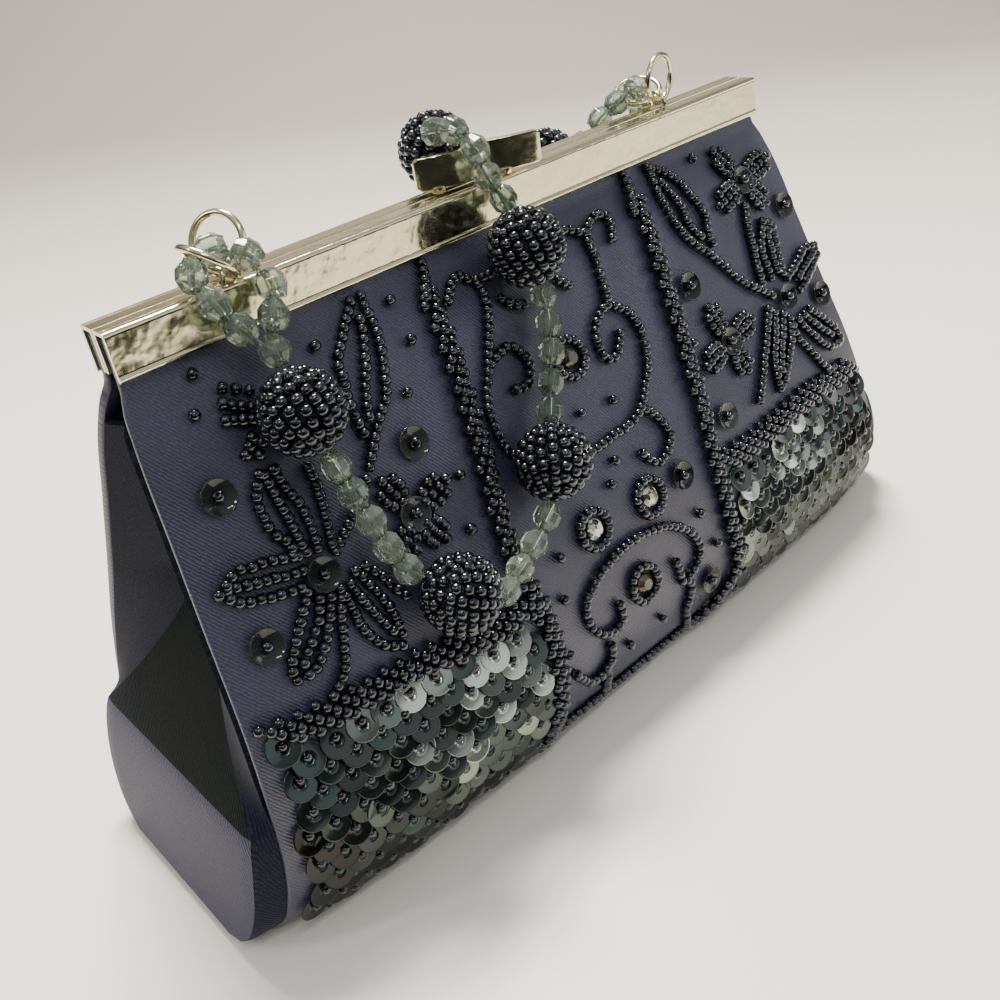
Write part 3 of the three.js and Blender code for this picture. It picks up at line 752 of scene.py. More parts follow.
# The end loops start with the bead that pinches them, next to the end ball.
LOOP_LEFT = [
    (-65, -13, 108.8), (-62.5, -11.3, 114.2), (-59.9, -8.5, 118.6), (-62.4, -7.3, 124.7),
    (-66.6, -3.1, 126.3), (-71.6, -3.5, 123.35), (-71.3, -8.3, 119), (-69.3, -11.5, 114.2),
]
LOOP_RIGHT = [
    (42.6, 12.6, 114.6), (46.1, 8.8, 119.7), (50.8, 7.3, 122.5), (57, 6.5, 124.6),
    (60.3, 8.5, 119.3), (59.6, 11.6, 114), (53.9, 13.3, 112.9), (48.1, 12.9, 112.4),
]
for side, loop, ball in (("left", LOOP_LEFT, BALLS[0]), ("right", LOOP_RIGHT, BALLS[5])):
    make_string(
        f"cut_bead_loop_{side}", f"bead_loop_{side}", loop, loop, tuple(ball - np.array(loop[0]))
    )

# The seed bead: a small rounded ring of metallic glass, 2.1 mm across.
SEED_WIDTH = 2.1
SEED_PITCH = 1.9
bpy.ops.mesh.primitive_torus_add(
    major_segments=9, minor_segments=6, major_radius=0.65, minor_radius=0.46
)
seed = bpy.context.object
# Its outline from the outside in: a short flat band, a round shoulder and the hole.
SEED_OUTLINE = [(1.06, 0.3), (0.82, 0.78), (0.4, 0.72), (0.4, -0.72), (0.82, -0.78), (1.06, -0.3)]
for vertex in seed.data.vertices:
    around = math.hypot(vertex.co.x, vertex.co.y)
    side = round(math.atan2(vertex.co.z, around - 0.65) / (math.pi / 3)) % 6
    radius, height = SEED_OUTLINE[side]
    vertex.co = (vertex.co.x / around * radius, vertex.co.y / around * radius, height)
seed_shape = take_shape(seed)

iris = material("seed_bead_iris_gunmetal")
# Metallic glass seeds: nearly black navy with a hard gloss, some bluer and some browner.
iris_tone = ramp(iris, own_number(iris), (0, "0e121b"), (1, "2b313d"))
finish_material(
    iris,
    {"Metallic": 0.85, "Roughness": 0.1, "Coat Weight": 1.0, "Coat Roughness": 0.02},
    {"Base Color": iris_tone.outputs[0]},
)

core_dye = material("ball_core_dark")
# The dyed core and thread between the seeds.
core_cloud = noise(core_dye, object_place(core_dye), 1200, 2)
core_tone = ramp(core_dye, core_cloud, (0, "0c0c10"), (1, "1c1c22"))
finish_material(core_dye, {"Roughness": 0.7}, {"Base Color": core_tone.outputs[0]})

BALL_WIDTH = 16.4
LAYER = BALL_WIDTH / 2 - SEED_WIDTH / 2
# The seeds lie in columns from hole to hole, and every second one starts lower.
BALL_COLUMNS = 18
COLUMN_STARTS = (0.27, 0.92, 0.52, 0.92)
COLUMN_LEAN = 0.12
bead_before = [LOOP_LEFT[0], *[run[-1] for run in RUNS]]
bead_after = [*[run[0] for run in RUNS], LOOP_RIGHT[0]]
for number, place in enumerate(BALLS):
    pole = unit(np.array(bead_after[number]) - np.array(bead_before[number]))
    side = unit(np.cross(pole, (0.3, 0.2, 1)))
    over = np.cross(pole, side)
    places, axes = [], []
    for column in range(BALL_COLUMNS):
        first = COLUMN_STARTS[column % 4]
        count = int((math.pi - 2 * first) * LAYER / SEED_PITCH) + 1
        for polar in np.linspace(first, math.pi - first, count):
            angle = 2 * math.pi * column / BALL_COLUMNS + COLUMN_LEAN * (polar - math.pi / 2)
            angle += chance.normal(0, 0.012)
            out = math.cos(angle) * side + math.sin(angle) * over
            places.append(place + LAYER * (math.sin(polar) * out + math.cos(polar) * pole))
            axes.append(math.cos(polar) * out - math.sin(polar) * pole + chance.normal(0, 0.08, 3))
    sizes = chance.normal(1.17, 0.04, len(places))
    beads = strew(f"seeds_of_ball_{number + 1}", seed_shape, places, axes, sizes)
    beads.data.materials.append(iris)
    bpy.ops.mesh.primitive_uv_sphere_add(segments=24, ring_count=14, radius=(LAYER - 0.4) * MM)
    core = bpy.context.object
    core.data.transform(Matrix.Translation(Vector(place) * MM))
    core.data.materials.append(core_dye)
    ball = join([beads, core])
    ball.name = f"beaded_ball_{number + 1}"
    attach(ball, "root")
    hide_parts(f"bead_ball_{number + 1}")

# Beadwork on the front. Single rows of seed beads couched on the satin: flowers with
# open petals, leaves, stems and scrolls, and small four-petalled flowers. Each line
# runs along one row, in millimetres along the bag and down from the frame's mouth.
SEED_LIFT = 1.0


def unit_normal(x, s):
    return unit(on_front(x, s, 1.0) - on_front(x, s, 0.0))


def seed_row(line):
    """Places and axes of seeds along a line on the front."""
    flat, _ = smooth_line(line, 1.0)
    return smooth_line(on_front(flat[:, 0], flat[:, 1], SEED_LIFT), SEED_PITCH)


def sew(name, rows, scales=1.12):
    """Seeds along rows of places and axes, slightly uneven as in hand work."""
    places = np.concatenate([row[0] for row in rows])
    axes = np.concatenate([row[1] for row in rows])
    count = len(places)
    places = places + chance.normal(0, 0.07, (count, 3))
    axes = axes + chance.normal(0, 0.1, (count, 3))
    sizes = np.broadcast_to(scales, count) * chance.normal(1, 0.05, count).clip(0.88, 1.12)
    made = strew(name, seed_shape, places, axes, sizes, chance.random(count) * 3)
    made.data.materials.append(iris)
    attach(made, "root")


FLOWER_LEFT = [
    [(-91.7, 39.6), (-89.2, 38.2), (-87.1, 37), (-83.6, 37.8), (-80.3, 38.3), (-76.7, 39.4)],
    [(-90.1, 39.2), (-86.3, 40.2), (-82.7, 41.1), (-79, 42), (-76.2, 42.6)],
    [(-91.7, 39.6), (-88.8, 42.4), (-85.5, 43.6), (-81.9, 44.5), (-78, 45.1)],
    [(-77.3, 46.2), (-80, 49.4), (-82.1, 51.9), (-84.8, 55.1), (-86.4, 57.8), (-86.4, 59.8)],
    [(-75.8, 48.6), (-77.8, 51.7), (-79.7, 53.8), (-82.2, 56), (-83.8, 57.7)],
    [(-73.7, 49.2), (-75.7, 52.3), (-77.6, 54.9), (-79.7, 57.4), (-81.8, 59.4), (-84.2, 60)],
    [(-72.2, 50.5), (-73.8, 53.4), (-75.3, 57.3), (-76.8, 60.6), (-78.9, 63.7), (-81.8, 65.7)],
    [(-71.4, 48.9), (-70.9, 53.3), (-71.2, 56.9), (-70.1, 60.2), (-67.6, 63.2), (-65.5, 64.4)],
    [(-69.4, 48.9), (-68.3, 53.7), (-67, 57.6), (-65.9, 60.9)],
    [(-67.4, 47.3), (-65.9, 50.3), (-65, 53.9), (-64.3, 58), (-64.5, 62.3)],
    [(-65, 47.5), (-63, 50.4), (-61.8, 53.5), (-60.3, 56.2)],
    [(-75.7, 23.4), (-78.1, 27.1), (-78.3, 30), (-78.5, 32.9), (-76.7, 36.3), (-75.8, 39.8)],
    [(-74.8, 23.7), (-74.8, 28.7), (-74.4, 33.9), (-74.4, 38), (-74.1, 39.9)],
    [(-72.8, 23.7), (-72.5, 27.3), (-71.5, 30.3), (-71.2, 33.4), (-71.4, 36.9), (-72, 40.2)],
    [(-66.6, 26.1), (-66.9, 31), (-67.8, 34.6), (-68.6, 38.3), (-69.2, 40.6)],
    [(-57.2, 33), (-60.6, 36.1), (-64.4, 38.9), (-66.6, 40.4), (-69, 42.3)],
]
FLOWER_RIGHT = [
    [(76.8, 25), (73, 29.5), (72.1, 33), (72.5, 38.5)],
    [(78.7, 26.1), (76.6, 29.3), (76.1, 33.9), (75.6, 37.6)],
    [(79.6, 27.4), (79.2, 32.1), (78.3, 36.2), (77.4, 39.3)],
    [(95.7, 37.8), (90.2, 36.9), (84.8, 39), (78.9, 40.8)],
    [(95.2, 38.7), (89.2, 40.5), (83.4, 42.5)],
    [(95.2, 40.2), (90.8, 42.6), (86, 44.4), (82.3, 45.5)],
    [(83, 51.4), (87.9, 55.6), (90.7, 59.1), (92.7, 63.2)],
    [(79.9, 51.7), (84.2, 56.4), (88.4, 60.7)],
    [(76.9, 52), (79.6, 56.1), (83.2, 60.6), (87.4, 63.6), (92.1, 64)],
    [(73.9, 52.3), (74.1, 55.9), (76.8, 60), (79.6, 64.6), (83.2, 68.7)],
    [(68.8, 46.8), (65.7, 51.5), (61.7, 56.7), (60.5, 61.1), (60.3, 64.2)],
    [(71.7, 48.4), (68.4, 52.6), (65.7, 55.9), (62.8, 60.1)],
    [(73.9, 50.3), (70.9, 55.6), (67.8, 58.3), (64.8, 61), (61.4, 63.9)],
    [(67, 45.1), (63.8, 48.8), (60.3, 52.8), (57.4, 56.4), (54.1, 60.3), (51.1, 63.3)],
]
LEAF_RIGHT = [
    [
        (70, 42.4), (66.6, 39.7), (62.7, 36.8), (59.4, 33.3), (56.4, 29.4), (53.2, 25.1), (49.9, 22.2),
        (47.6, 19.1), (46.1, 16), (45.3, 11.8), (45, 7.8), (45.6, 4), (46.1, 1.6),
    ],
    [(47.4, 5.8), (49.1, 9.5), (49.9, 13.2), (50.1, 17.3), (52.3, 20.7)],
    [
        (46.8, 2.2), (49.8, 3.7), (52.9, 6.6), (54.1, 10.1), (55.9, 13.7), (56.6, 17.1), (55.4, 20.4),
        (55.6, 23.6),
    ],
    [(72.1, 19.3), (70.5, 24.4), (69.6, 29.8), (68.7, 33.7), (68.2, 38.6)],
]
LEAF_LEFT = [
    [
        (-40.5, 2.3), (-40.8, 4.3), (-41.2, 7.9), (-42.1, 11.2), (-43.3, 14.8), (-44.6, 18.1),
        (-46, 21), (-48.5, 23.2), (-51, 25.9), (-53.2, 28.4), (-55.4, 31.2),
    ],
    [(-43.4, 6.1), (-44.5, 9), (-46, 12), (-47.5, 14.9), (-49.8, 19), (-51.1, 22.7)],
    [
        (-43.2, 2.6), (-45.9, 4.9), (-48.7, 7.8), (-51.4, 10.4), (-52.2, 12), (-53.1, 16.6),
        (-53.7, 20.5), (-53.5, 25.1),
    ],
]
SCROLL_RIGHT = [
    [
        (13.4, 6.4), (15.4, 7.2), (17.5, 8.8), (20, 7.8), (22.1, 6.8), (25.1, 6.5), (26.9, 8.1),
        (26.3, 10), (25, 12.2),
    ],
    [
        (18.7, 9.1), (17.8, 11.6), (17.8, 14.4), (17.2, 17.6), (16.9, 20.3), (16.6, 23.1), (15.7, 24.7),
        (18.3, 26.2), (21.1, 28.7), (22, 32), (22.4, 35.2), (21.2, 39.2), (19.6, 42.6), (16.8, 45.5),
        (14, 48.4), (11.7, 49.9), (7.5, 50.9), (2.5, 51.1), (-1.7, 51.4), (-4.8, 51.5),
    ],
    [
        (14.1, 25.1), (11.1, 26.9), (9.6, 28.8), (8.8, 31.3), (8.9, 34.1), (10.7, 35.8), (13, 35.4),
        (14.7, 33.7), (16.1, 31.8),
    ],
    [
        (14.6, 49.9), (16.8, 52.2), (18.2, 55.9), (18.2, 58.5), (15.5, 60.9), (12.2, 62.1),
        (10.3, 60.5), (8.7, 58.2),
    ],
]
SCROLL_LEFT = [
    [(-11, 8.3), (-15, 8.2), (-17.2, 6.3), (-19.7, 6.5), (-21.6, 8), (-23.3, 9.6)],
    [
        (-14.6, 9.2), (-14.6, 11.8), (-15.4, 14.6), (-16.9, 17.6), (-18.7, 20.5), (-20.7, 24.2),
        (-22.1, 26.4), (-23.8, 29.3), (-25, 31.9), (-25.7, 35.7), (-25.7, 39.4), (-24.6, 42.2),
        (-23.3, 44.7),
    ],
    [
        (-20.2, 24.4), (-17.6, 23.5), (-14.6, 22.8), (-12.2, 24.5), (-11, 27.2), (-11.6, 29.8),
        (-13.6, 31.7), (-16.8, 31.4),
    ],
    [(-10.9, 13.6), (-9.1, 15.4), (-6.2, 16.7)],
    [(5, 15.2), (7.5, 17.1)],
]
SCROLL_LOW = [
    [
        (-12.5, 85.6), (-12.5, 89.1), (-15.4, 90.6), (-19.2, 89.4), (-22.1, 85.7), (-22.3, 82.7),
        (-21.1, 79.8), (-18.2, 77.8), (-13.9, 75.6), (-7.9, 74.3), (-1.4, 74.1), (4.6, 75.1),
        (10.3, 77.5), (14.8, 81.5), (16.3, 86.1), (15, 89.4), (11.4, 91.4),
    ],
    [(7.5, 85.8), (8.1, 88.9), (8.7, 91.3), (11.2, 93), (10.9, 97), (9.6, 100.6), (12.5, 108.6)],
    [(-17.4, 93.9), (-17.4, 96.5), (-19.3, 98.6), (-22.7, 99.9), (-26.1, 97.9), (-28.7, 94.4)],
    [(-18.9, 98.2), (-18.9, 105.3)],
]
BOTTOM_EDGE = [
    [
        (-36, 110.2), (-29.5, 109.6), (-22.8, 110), (-13.2, 111.4), (-4.9, 111.7), (7.6, 111.7),
        (20, 111.2),
    ],
]
for name, lines in (
    ("seed_flower_left", FLOWER_LEFT),
    ("seed_flower_right", FLOWER_RIGHT),
    ("seed_leaves", LEAF_LEFT + LEAF_RIGHT),
    ("seed_scrolls_upper", SCROLL_LEFT + SCROLL_RIGHT),
    ("seed_scrolls_lower", SCROLL_LOW + BOTTOM_EDGE),
):
    sew(name, [seed_row(line) for line in lines])

# Small flowers: the middle, and the outer point of each of four short petals. A petal has
# three rows of three or four seeds: sideways place, start, and share of its length.
SMALL_FLOWERS = [
    ((74.4, 13.4), [(69.1, 4.2), (87.9, 10.8), (63, 16.4), (81, 21.1)]),
    ((48.7, 46.6), [(46.1, 36.8), (59.5, 44.7), (38.2, 48.9), (51.1, 55.3)]),
    ((-51.1, 43.4), [(-54.6, 34.8), (-41.5, 40.5), (-47.2, 50.9), (-58, 50.4)]),
]
PETAL_ROWS = ((-2.35, 4.2, 0.84), (0, 3.4, 1), (2.35, 4.2, 0.84))
small_rows = []
for centre, ends in SMALL_FLOWERS:
    centre = np.array(centre)
    for end in ends:
        ray = np.array(end) - centre
        length = np.linalg.norm(ray)
        ray = ray / length
        across = np.array([-ray[1], ray[0]])
        for offset, start, stop in PETAL_ROWS:
            line = [
                centre + ray * start + across * offset * 0.8,
                centre + ray * (start + length * stop) / 2 + across * offset,
                centre + ray * length * stop + across * offset * 0.9,
            ]
            small_rows.append(seed_row(line))
# Of the one behind the end ball only two petals show beside it.
for line in (
    [(-74.2, 7.2), (-70.2, 9.4)], [(-75.7, 9.7), (-71.3, 12.2)], [(-76.7, 12.5), (-72.3, 14.2)],
    [(-73.8, 16.9), (-76.1, 19.3)], [(-72.6, 18.4), (-74, 20.2)],
):
    small_rows.append(seed_row(line))
sew("seed_small_flowers", small_rows)

# Loose seeds sewn on one by one.
LOOSE_SEEDS = [
    (6.7, 44), (-3.1, 42.9), (0.2, 56), (-3.3, 60.1), (39.4, 7.3), (37.3, 18), (36.5, 42.3),
    (-23.8, 67.5), (-26.6, 76.1), (-29.8, 88.2), (-11.1, 97.5), (0.4, 97.1), (19.4, 78.7),
    (22.9, 88.6), (61.6, 3.7), (-77.9, 3.2), (-81.2, 9.5), (-41.2, 21.9), (-41, 51.9),
    (-38, 41.4), (-35.2, 5), (-35.3, 13.1), (-54.6, 7.2),
]
loose_x, loose_s = np.array(LOOSE_SEEDS).T
angle = chance.random(len(loose_x)) * math.pi
tangent = on_front(loose_x + np.cos(angle), loose_s + np.sin(angle)) - on_front(loose_x, loose_s)
sew("seeds_loose", [(on_front(loose_x, loose_s, SEED_LIFT), unit(tangent))])

# Wavy borders. Ropes of slanted stitches, each started beside the middle of the one
# before, so that two rows seem to twist round each other. They run from the frame to
# the bottom beside the scrolls, and along the slanted tops of the sequin fields.
ROPE_BEADS = 5
ROPE_LIFT = 1.1
ROPE_ARCH = 0.6


def rope(line, step, slant):
    """Slanted stitches along a line on the front, each arched over the one before."""
    flat, _ = smooth_line(line, step)
    half = (ROPE_BEADS - 1) * SEED_PITCH / 2
    stations = np.linspace(-half, half, ROPE_BEADS)
    crown = 1 - (stations / half) ** 2 + 0.5 * stations / half
    cosine, sine = math.cos(slant), math.sin(slant)
    rows = []
    for middle, (ahead_x, ahead_s) in zip(flat, unit(np.gradient(flat, axis=0))):
        turned = np.array([ahead_x * cosine - ahead_s * sine, ahead_x * sine + ahead_s * cosine])
        middle = middle + np.array([-ahead_s, ahead_x]) * chance.normal(0, 0.12)
        # A rope from the mouth starts clear of the frame.
        if flat[0, 1] < 2:
            middle[1] = max(middle[1], half + 0.6)
        x, s = (middle + turned * stations[:, None]).T
        on = on_front(x, s, ROPE_LIFT) + unit_normal(x, s) * (crown * ROPE_ARCH)[:, None]
        rows.append((on, unit(np.gradient(on, axis=0))))
    return rows


WAVY_LEFT = [
    (-26.4, 1.6), (-27.9, 14.6), (-30, 33.6), (-33.2, 50.3), (-34.6, 63.4), (-32.7, 78.9),
    (-34.3, 96.4), (-37.8, 110.5),
]
WAVY_RIGHT = [
    (36.3, 1.6), (36.5, 10.8), (35, 29), (32.4, 51.1), (29.2, 67.9), (29, 86.7), (29.9, 98.9),
    (21, 110.5),
]
FIELD_TOP_LEFT = [
    (-93.4, 67.2), (-89.2, 67.5), (-76.3, 68.7), (-62.1, 69.7), (-47.5, 72.6), (-35.9, 72.2),
]
FIELD_TOP_RIGHT = [
    (33, 71.2), (42.5, 71.5), (50, 71.2), (58.5, 70.6), (70, 70.2), (83.4, 70.8), (92.3, 71.3),
]
sew("seed_rope_left", rope(WAVY_LEFT, 4.3, 0.5))
sew("seed_rope_right", rope(WAVY_RIGHT, 4.3, 0.5))
sew("seed_rope_field_left", rope(FIELD_TOP_LEFT, 3.6, 0.6))
sew("seed_rope_field_right", rope(FIELD_TOP_RIGHT, 3.6, 0.6))

# Sequins. Flat round paillettes in lapped rows fill the lower corners of the front,
# each held by a seed at its hole. Cupped smoke-grey ones are sewn singly between the
# flowers.
PAILLETTE = 7.0
PAILLETTE_SHEET = 0.16
PAILLETTE_HOLE = 1.0
ROW_STEP = 3.7
COLUMN_STEP = 5.8


def paillette_template(cup):
    """A round disc with a hole. With a cup its rim stands up and its middle is flat."""
    bpy.ops.mesh.primitive_circle_add(vertices=20, radius=PAILLETTE / 2, fill_type="NOTHING")
    disc = bpy.context.object
    bpy.ops.object.mode_set(mode="EDIT")
    bpy.ops.mesh.select_mode(type="VERT")
    bpy.ops.mesh.select_all(action="SELECT")
    for radius, height in ((0.93, cup * 0.8), (0.5, 0), (PAILLETTE_HOLE / PAILLETTE, 0)):
        bpy.ops.mesh.extrude_region_move()
        bpy.ops.object.mode_set(mode="OBJECT")
        for vertex in disc.data.vertices:
            if vertex.select:
                flat = Vector((vertex.co.x, vertex.co.y)).normalized() * PAILLETTE / 2 * radius
                vertex.co = (flat.x, flat.y, height - cup)
        bpy.ops.object.mode_set(mode="EDIT")
    bpy.ops.object.mode_set(mode="OBJECT")
    edit(disc)
    bpy.ops.mesh.select_all(action="SELECT")
    bpy.ops.mesh.normals_make_consistent(inside=False)
    bpy.ops.object.mode_set(mode="OBJECT")
    apply_modifier(disc, "SOLIDIFY", thickness=PAILLETTE_SHEET, offset=0)
    return take_shape(disc)


CUP = 0.9
flat_paillette = paillette_template(0.15)
cupped_paillette = paillette_template(CUP)

pearl_film = material("silver_grey_paillette")
# Glossy film from dark brown over green-grey to silver, one tone to each sequin.
film_tone = ramp(
    pearl_film, own_number(pearl_film),
    (0, "1a1816"), (0.2, "1d2120"), (0.36, "282d2b"), (0.5, "2e3835"), (0.62, "3b423e"),
    (0.72, "545b56"), (0.79, "747a73"), (0.86, "a9aea4"),
)
film_tone.color_ramp.interpolation = "CONSTANT"
finish_material(
    pearl_film,
    {"Metallic": 0.9, "Roughness": 0.19, "Coat Weight": 0.35, "Coat Roughness": 0.05},
    {"Base Color": film_tone.outputs[0]},
)

smoke_film = material("smoke_grey_cupped_paillette")
# See-through smoke grey film that bends the room's light into a bright crescent.
smoke_tone = ramp(smoke_film, own_number(smoke_film), (0, "24272a"), (1, "565b57"))
finish_material(
    smoke_film,
    {"Roughness": 0.08, "IOR": 1.36, "Transmission Weight": 0.6, "Coat Weight": 0.2},
    {"Base Color": smoke_tone.outputs[0]},
)

# The fields start below the ropes on top and end where the front turns under the bag.
FIELD_START = 70
FIELD_END = 112.5
FIELD_INNER = 30
FIELD_COLUMNS = 14
# How far the sequins' middles stay from the ropes and from the folded side.
CLEAR_OF_TOP = 2.6
CLEAR_OF_INNER = 3.4
CLEAR_OF_OUTER = 1.5
LAP_TILT = 0.27


def field_top(side, x):
    line = np.array(FIELD_TOP_LEFT if side < 0 else FIELD_TOP_RIGHT)
    return np.interp(x, line[:, 0], line[:, 1])


def field_sides(side, s):
    """The inner and the outer edge of a field at s, as distances from the middle."""
    outer = np.interp(s, (66, 84, 94.5, 112), (95.5, 97.2, 99.7, 101.5))
    line = np.array(WAVY_LEFT if side < 0 else WAVY_RIGHT)
    inner = np.abs(np.interp(s, line[:, 1], line[:, 0]))
    return (inner, outer)


def make_field(side, name, node_name):
    places, axes, shades, seeds, seed_axes = [], [], [], [], []
    last = int((FIELD_END - FIELD_START) / ROW_STEP) + 1
    for row in range(last, -1, -1):
        base = FIELD_START + row * ROW_STEP
        inner, outer = field_sides(side, base)
        for column in range(FIELD_COLUMNS):
            across = FIELD_INNER + (column + 0.5 * (row % 2)) * COLUMN_STEP + chance.normal(0, 0.25)
            x = side * across
            s = base + chance.normal(0, 0.2)
            beside = across < inner + CLEAR_OF_INNER or across > outer - CLEAR_OF_OUTER
            if beside or s < field_top(side, x) + CLEAR_OF_TOP or s > FIELD_END:
                continue
            point = on_front(x, s, 0.75)
            normal = unit_normal(x, s)
            down = unit(on_front(x, s + 1.0) - on_front(x, s - 1.0))
            tilt = LAP_TILT + chance.normal(0, 0.06)
            leaning = unit(normal + down * -tilt + np.array([chance.normal(0, 0.06), 0, 0]))
            # Towards the middle and the top more of them are pale: painted reflected light, added to
            # each sequin's own random tone.
            inward_painted_light = min(1.4 * (outer - across) / (outer - inner), 1) * (1 - (s - FIELD_START) / 52)
            shades.append(min(max(chance.random() * 0.58 + 0.6 * inward_painted_light, 0), 1))
            places.append(point + normal * 0.35)
            axes.append(leaning)
            seeds.append(point + leaning * 0.5 - down * 0.6)
            seed_axes.append(unit(down + chance.normal(0, 0.15, 3)))
    made = strew(name, flat_paillette, places, axes, owns=np.array(shades))
    made.data.materials.append(pearl_film)
    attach(made, "root")
    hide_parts(node_name)
    sew("seeds_on_" + name, [(np.array(seeds), np.array(seed_axes))], 0.95)


make_field(-1, "paillettes_left", "sequin_field_left")
make_field(1, "paillettes_right", "sequin_field_right")

CUPPED = {
    "sequin_cup_upper_left": (-84, 23.9),
    "sequin_cup_upper_right": (88, 24),
    "sequin_cup_inner_left": (-44.5, 31.2),
    "sequin_cup_inner_right": (42.7, 30),
    "sequin_cup_outer_left": (-88.4, 51.7),
    "sequin_cup_outer_right": (91.2, 49.9),
    "sequin_cup_middle_upper": (38.3, 62),
    "sequin_cup_middle": (17.6, 67.9),
    "sequin_cup_lower": (19.2, 97.3),
}
cup_places = []
for node_name, (x, s) in CUPPED.items():
    place = on_front(x, s, 0.5 + CUP)
    made = strew("single_" + node_name[7:], cupped_paillette, [place], [unit_normal(x, s)])
    made.data.materials.append(smoke_film)
    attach(made, "root")
    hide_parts(node_name)
    cup_places.append(place)
cup_seed_axes = unit(chance.normal(0, 1, (len(cup_places), 3)) * (1, 0.2, 1))
sew("seeds_in_cups", [(np.array(cup_places), cup_seed_axes)])

# Sequins in the middles of the flowers, with a seed on each.
FLOWER_MIDDLES = [(-73.2, 44.8), (75.6, 45), (74.4, 13.4), (48.7, 46.6), (-51.1, 43.4)]
middle_x, middle_s = np.array(FLOWER_MIDDLES).T
normals = unit_normal(middle_x, middle_s)
middle_places = on_front(middle_x, middle_s, 1.9)
middles = strew("paillettes_in_flowers", cupped_paillette, middle_places, normals)
middles.data.materials.append(smoke_film)
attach(middles, "root")
middle_seed_axes = unit(np.cross(normals, (0.9, 0.1, 0.4)))
sew("seeds_in_flowers", [(on_front(middle_x, middle_s, 2.0), middle_seed_axes)])

# Stones. Four faceted stones in collars of seeds: two clear, one amber and one dark.
STONE_WIDTH = 4.8
STONE_HEIGHT = 1.8
STONE_GIRDLE = STONE_HEIGHT * 0.35
STONE_CROWN = STONE_HEIGHT - STONE_GIRDLE
bpy.ops.mesh.primitive_cylinder_add(vertices=16, radius=STONE_WIDTH / 2, depth=STONE_GIRDLE)
stone = bpy.context.object
edit(stone)
select_faces(stone, lambda normal, middle: normal.z > 0.9)
bpy.ops.mesh.extrude_region_move(TRANSFORM_OT_translate={"value": (0, 0, STONE_CROWN)})
bpy.ops.transform.resize(value=(0.55, 0.55, 1))
bpy.ops.object.mode_set(mode="OBJECT")
stone_shape = take_shape(stone)


def stone_material(name, low, high, transmission):
    """Cut crystal with painted sparkle: cells of about a millimetre painted either dark or bright, as
    painted reflections in the facets.
    """
    made = material(name)
    painted_sparkle_cells = node(made, "TexVoronoi", {"Scale": 900}, {"Vector": object_place(made)})
    tone = ramp(made, painted_sparkle_cells.outputs["Color"], (0.3, low), (0.6, high))
    return finish_material(
        made,
        {"Roughness": 0.03, "IOR": 1.6, "Transmission Weight": transmission, "Coat Weight": 0.4},
        {"Base Color": tone.outputs[0]},
    )


clear_stone = stone_material("clear_foil_backed_crystal", "2c2e24", "fbfbe9", 0.1)
amber_stone = stone_material("amber_crystal", "0f0c05", "5e4a1e", 0.2)
dark_stone = stone_material("dark_smoke_crystal", "0d0c0a", "4a4436", 0.3)
STONES = {
    "crystal_clear_left": (-12.4, 66.6, clear_stone, "clear_stone"),
    "crystal_clear_right": (5.9, 67.7, clear_stone, "clear_stone"),
    "crystal_smoke_upper": (-0.1, 31.2, dark_stone, "smoke_stone"),
    "crystal_smoke_lower": (-3.5, 85.1, amber_stone, "smoke_stone"),
}
COLLAR = 4.15
collars = []
for node_name, (x, s, look, slot) in STONES.items():
    place = on_front(x, s, 0.35 + STONE_HEIGHT * 0.18)
    made = strew("cut_" + node_name, stone_shape, [place], [unit_normal(x, s)], smooth=False)
    made.data.materials.append(look)
    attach(made, "root")
    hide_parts(node_name)
    turns = np.arange(15) / 15 * 2 * math.pi
    ring = on_front(x + COLLAR * np.cos(turns), s + COLLAR * np.sin(turns), SEED_LIFT)
    collars.append((ring, unit(np.roll(ring, -1, axis=0) - np.roll(ring, 1, axis=0))))
sew("seed_collars", collars)

# Table and light. A white table that sweeps up into a pale wall behind, under a bright
# ceiling panel. The room is dim low down and at the left, so the satin and the metal
# keep dark sides.
SWEEP_START = 0.7
SWEEP_RADIUS = 0.5
TABLE_FRONT = -0.222
WALL_TOP = 1.4
SWEEP_STEPS = 8
profile = [(TABLE_FRONT, 0.0), (0.0, 0.0), (0.3, 0.0), (SWEEP_START, 0.0)]
for step in range(1, SWEEP_STEPS + 1):
    turn = step / SWEEP_STEPS * math.pi / 2
    out = SWEEP_START + SWEEP_RADIUS * math.sin(turn)
    profile.append((out, SWEEP_RADIUS * (1 - math.cos(turn))))
profile.append((SWEEP_START + SWEEP_RADIUS, WALL_TOP))
# The sweep lies square to the way the camera looks.
level = Vector((ahead.x, ahead.y, 0)).normalized()
sideways = Vector((level.y, -level.x, 0))
sweep_points = []
for out, high in profile:
    for reach in (-1.6, -0.8, 0, 0.8, 1.6):
        place = level * out + sideways * reach
        sweep_points.append((place.x / MM, place.y / MM, high / MM))
table = new_object("table", sweep_points, grid_faces(len(profile), 5, turned=True))
laminate = material("white_laminate")
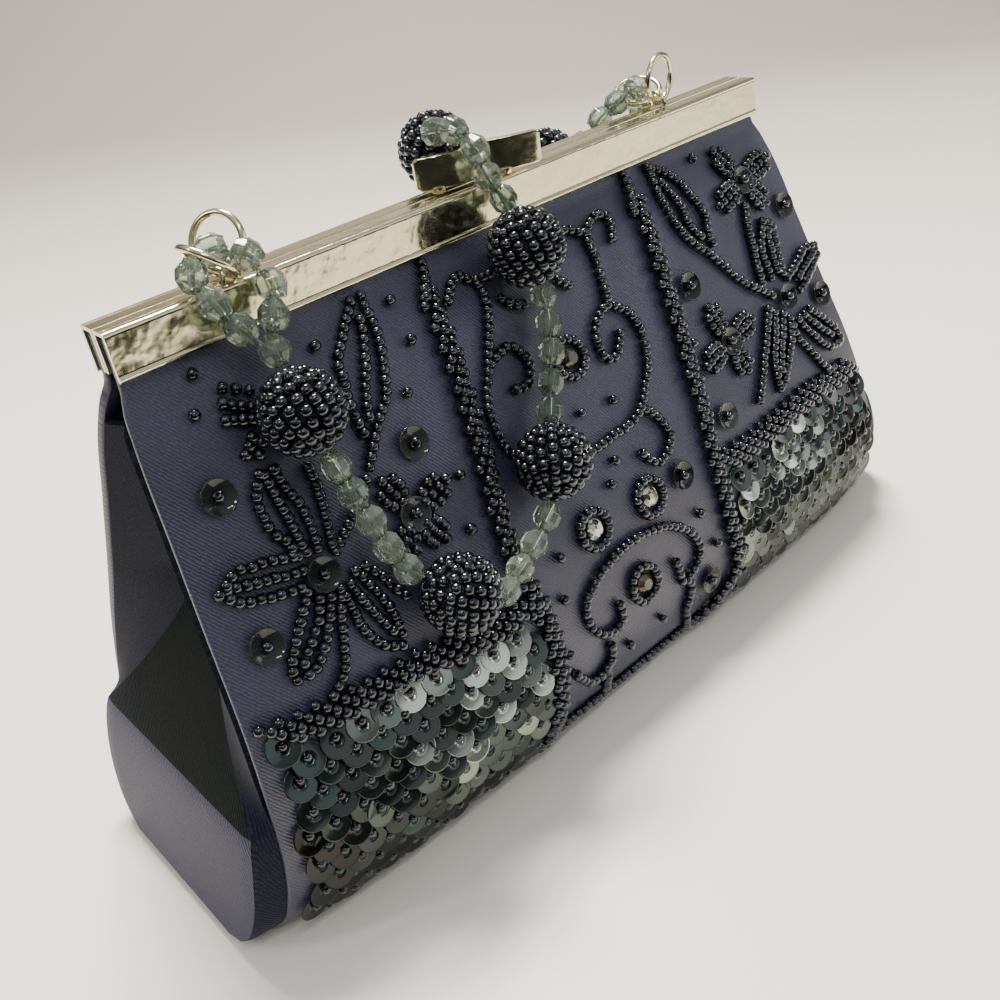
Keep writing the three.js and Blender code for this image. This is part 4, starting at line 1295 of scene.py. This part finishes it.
# Satin white laminate: nearly white and slightly warm, with a faint cloudiness. Towards the wall it is
# painted greyer, as painted shade, for the wall lies in the shade.
table_place = object_place(laminate)
table_tone = ramp(laminate, noise(laminate, table_place, 4, 2), (0, "f2ede0"), (1, "f7f3e8"))
# Painted shade: the colour is mixed towards grey with the distance towards the wall.
wall_shade_depth = node(
    laminate,
    "VectorMath",
    {"operation": "DOT_PRODUCT", 1: (level.x + 0.2 * level.y, level.y - 0.2 * level.x, 0)},
    {0: table_place},
)
table_colour = node(
    laminate,
    "Mix",
    {"data_type": "RGBA", 7: linear("a9a199")},
    {
        "Factor": map_range(laminate, wall_shade_depth.outputs["Value"], From_Min=0.1, From_Max=0.72),
        6: table_tone.outputs[0],
    },
)
finish_material(laminate, {"Roughness": 0.5}, {"Base Color": table_colour.outputs[2]})
table.data.materials.append(laminate)


def panel_light(place, width, height, energy, colour, aim=(0, 0, 0.05)):
    bpy.ops.object.light_add(type="AREA", location=place)
    panel = bpy.context.object
    panel.data.shape = "RECTANGLE"
    panel.data.size = width
    panel.data.size_y = height
    panel.data.energy = energy
    panel.data.color = linear(colour)[:3]
    away = Vector(aim) - panel.location
    panel.rotation_euler = away.to_track_quat("-Z", "Y").to_euler()


# The ceiling panel, a pale wall in front, and small panels that draw highlights.
panel_light((0.25, 0.35, 1.1), 0.4, 0.25, 35, "fffaf2", (0, 0, 0))
panel_light((0.35, -0.95, 0.4), 0.9, 0.35, 1.2, "f0f4fb")
panel_light((0.8, -0.5, 0.3), 0.3, 0.3, 0.9, "f4f8ff")
panel_light((-0.75, 0.25, 0.7), 0.08, 0.35, 1.6, "ffffff")
panel_light((-0.1, -0.55, 0.95), 0.3, 0.06, 1.4, "ffffff")
panel_light((-0.5, -0.6, 0.9), 0.12, 0.12, 1.2, "ffffff")

room = bpy.data.worlds.new("room")
bpy.context.scene.world = room
room.use_nodes = True
# Dark near the floor and white from halfway up.
sky_place = node(room, "TexCoord").outputs["Generated"]
sky_height = node(room, "SeparateXYZ", links={0: sky_place}).outputs["Z"]
sky_tone = ramp(room, sky_height, (0, "303436"), (0.75, "ffffff"))
sky = room.node_tree.nodes["Background"]
room.node_tree.links.new(sky_tone.outputs[0], sky.inputs["Color"])
sky.inputs["Strength"].default_value = 0.62
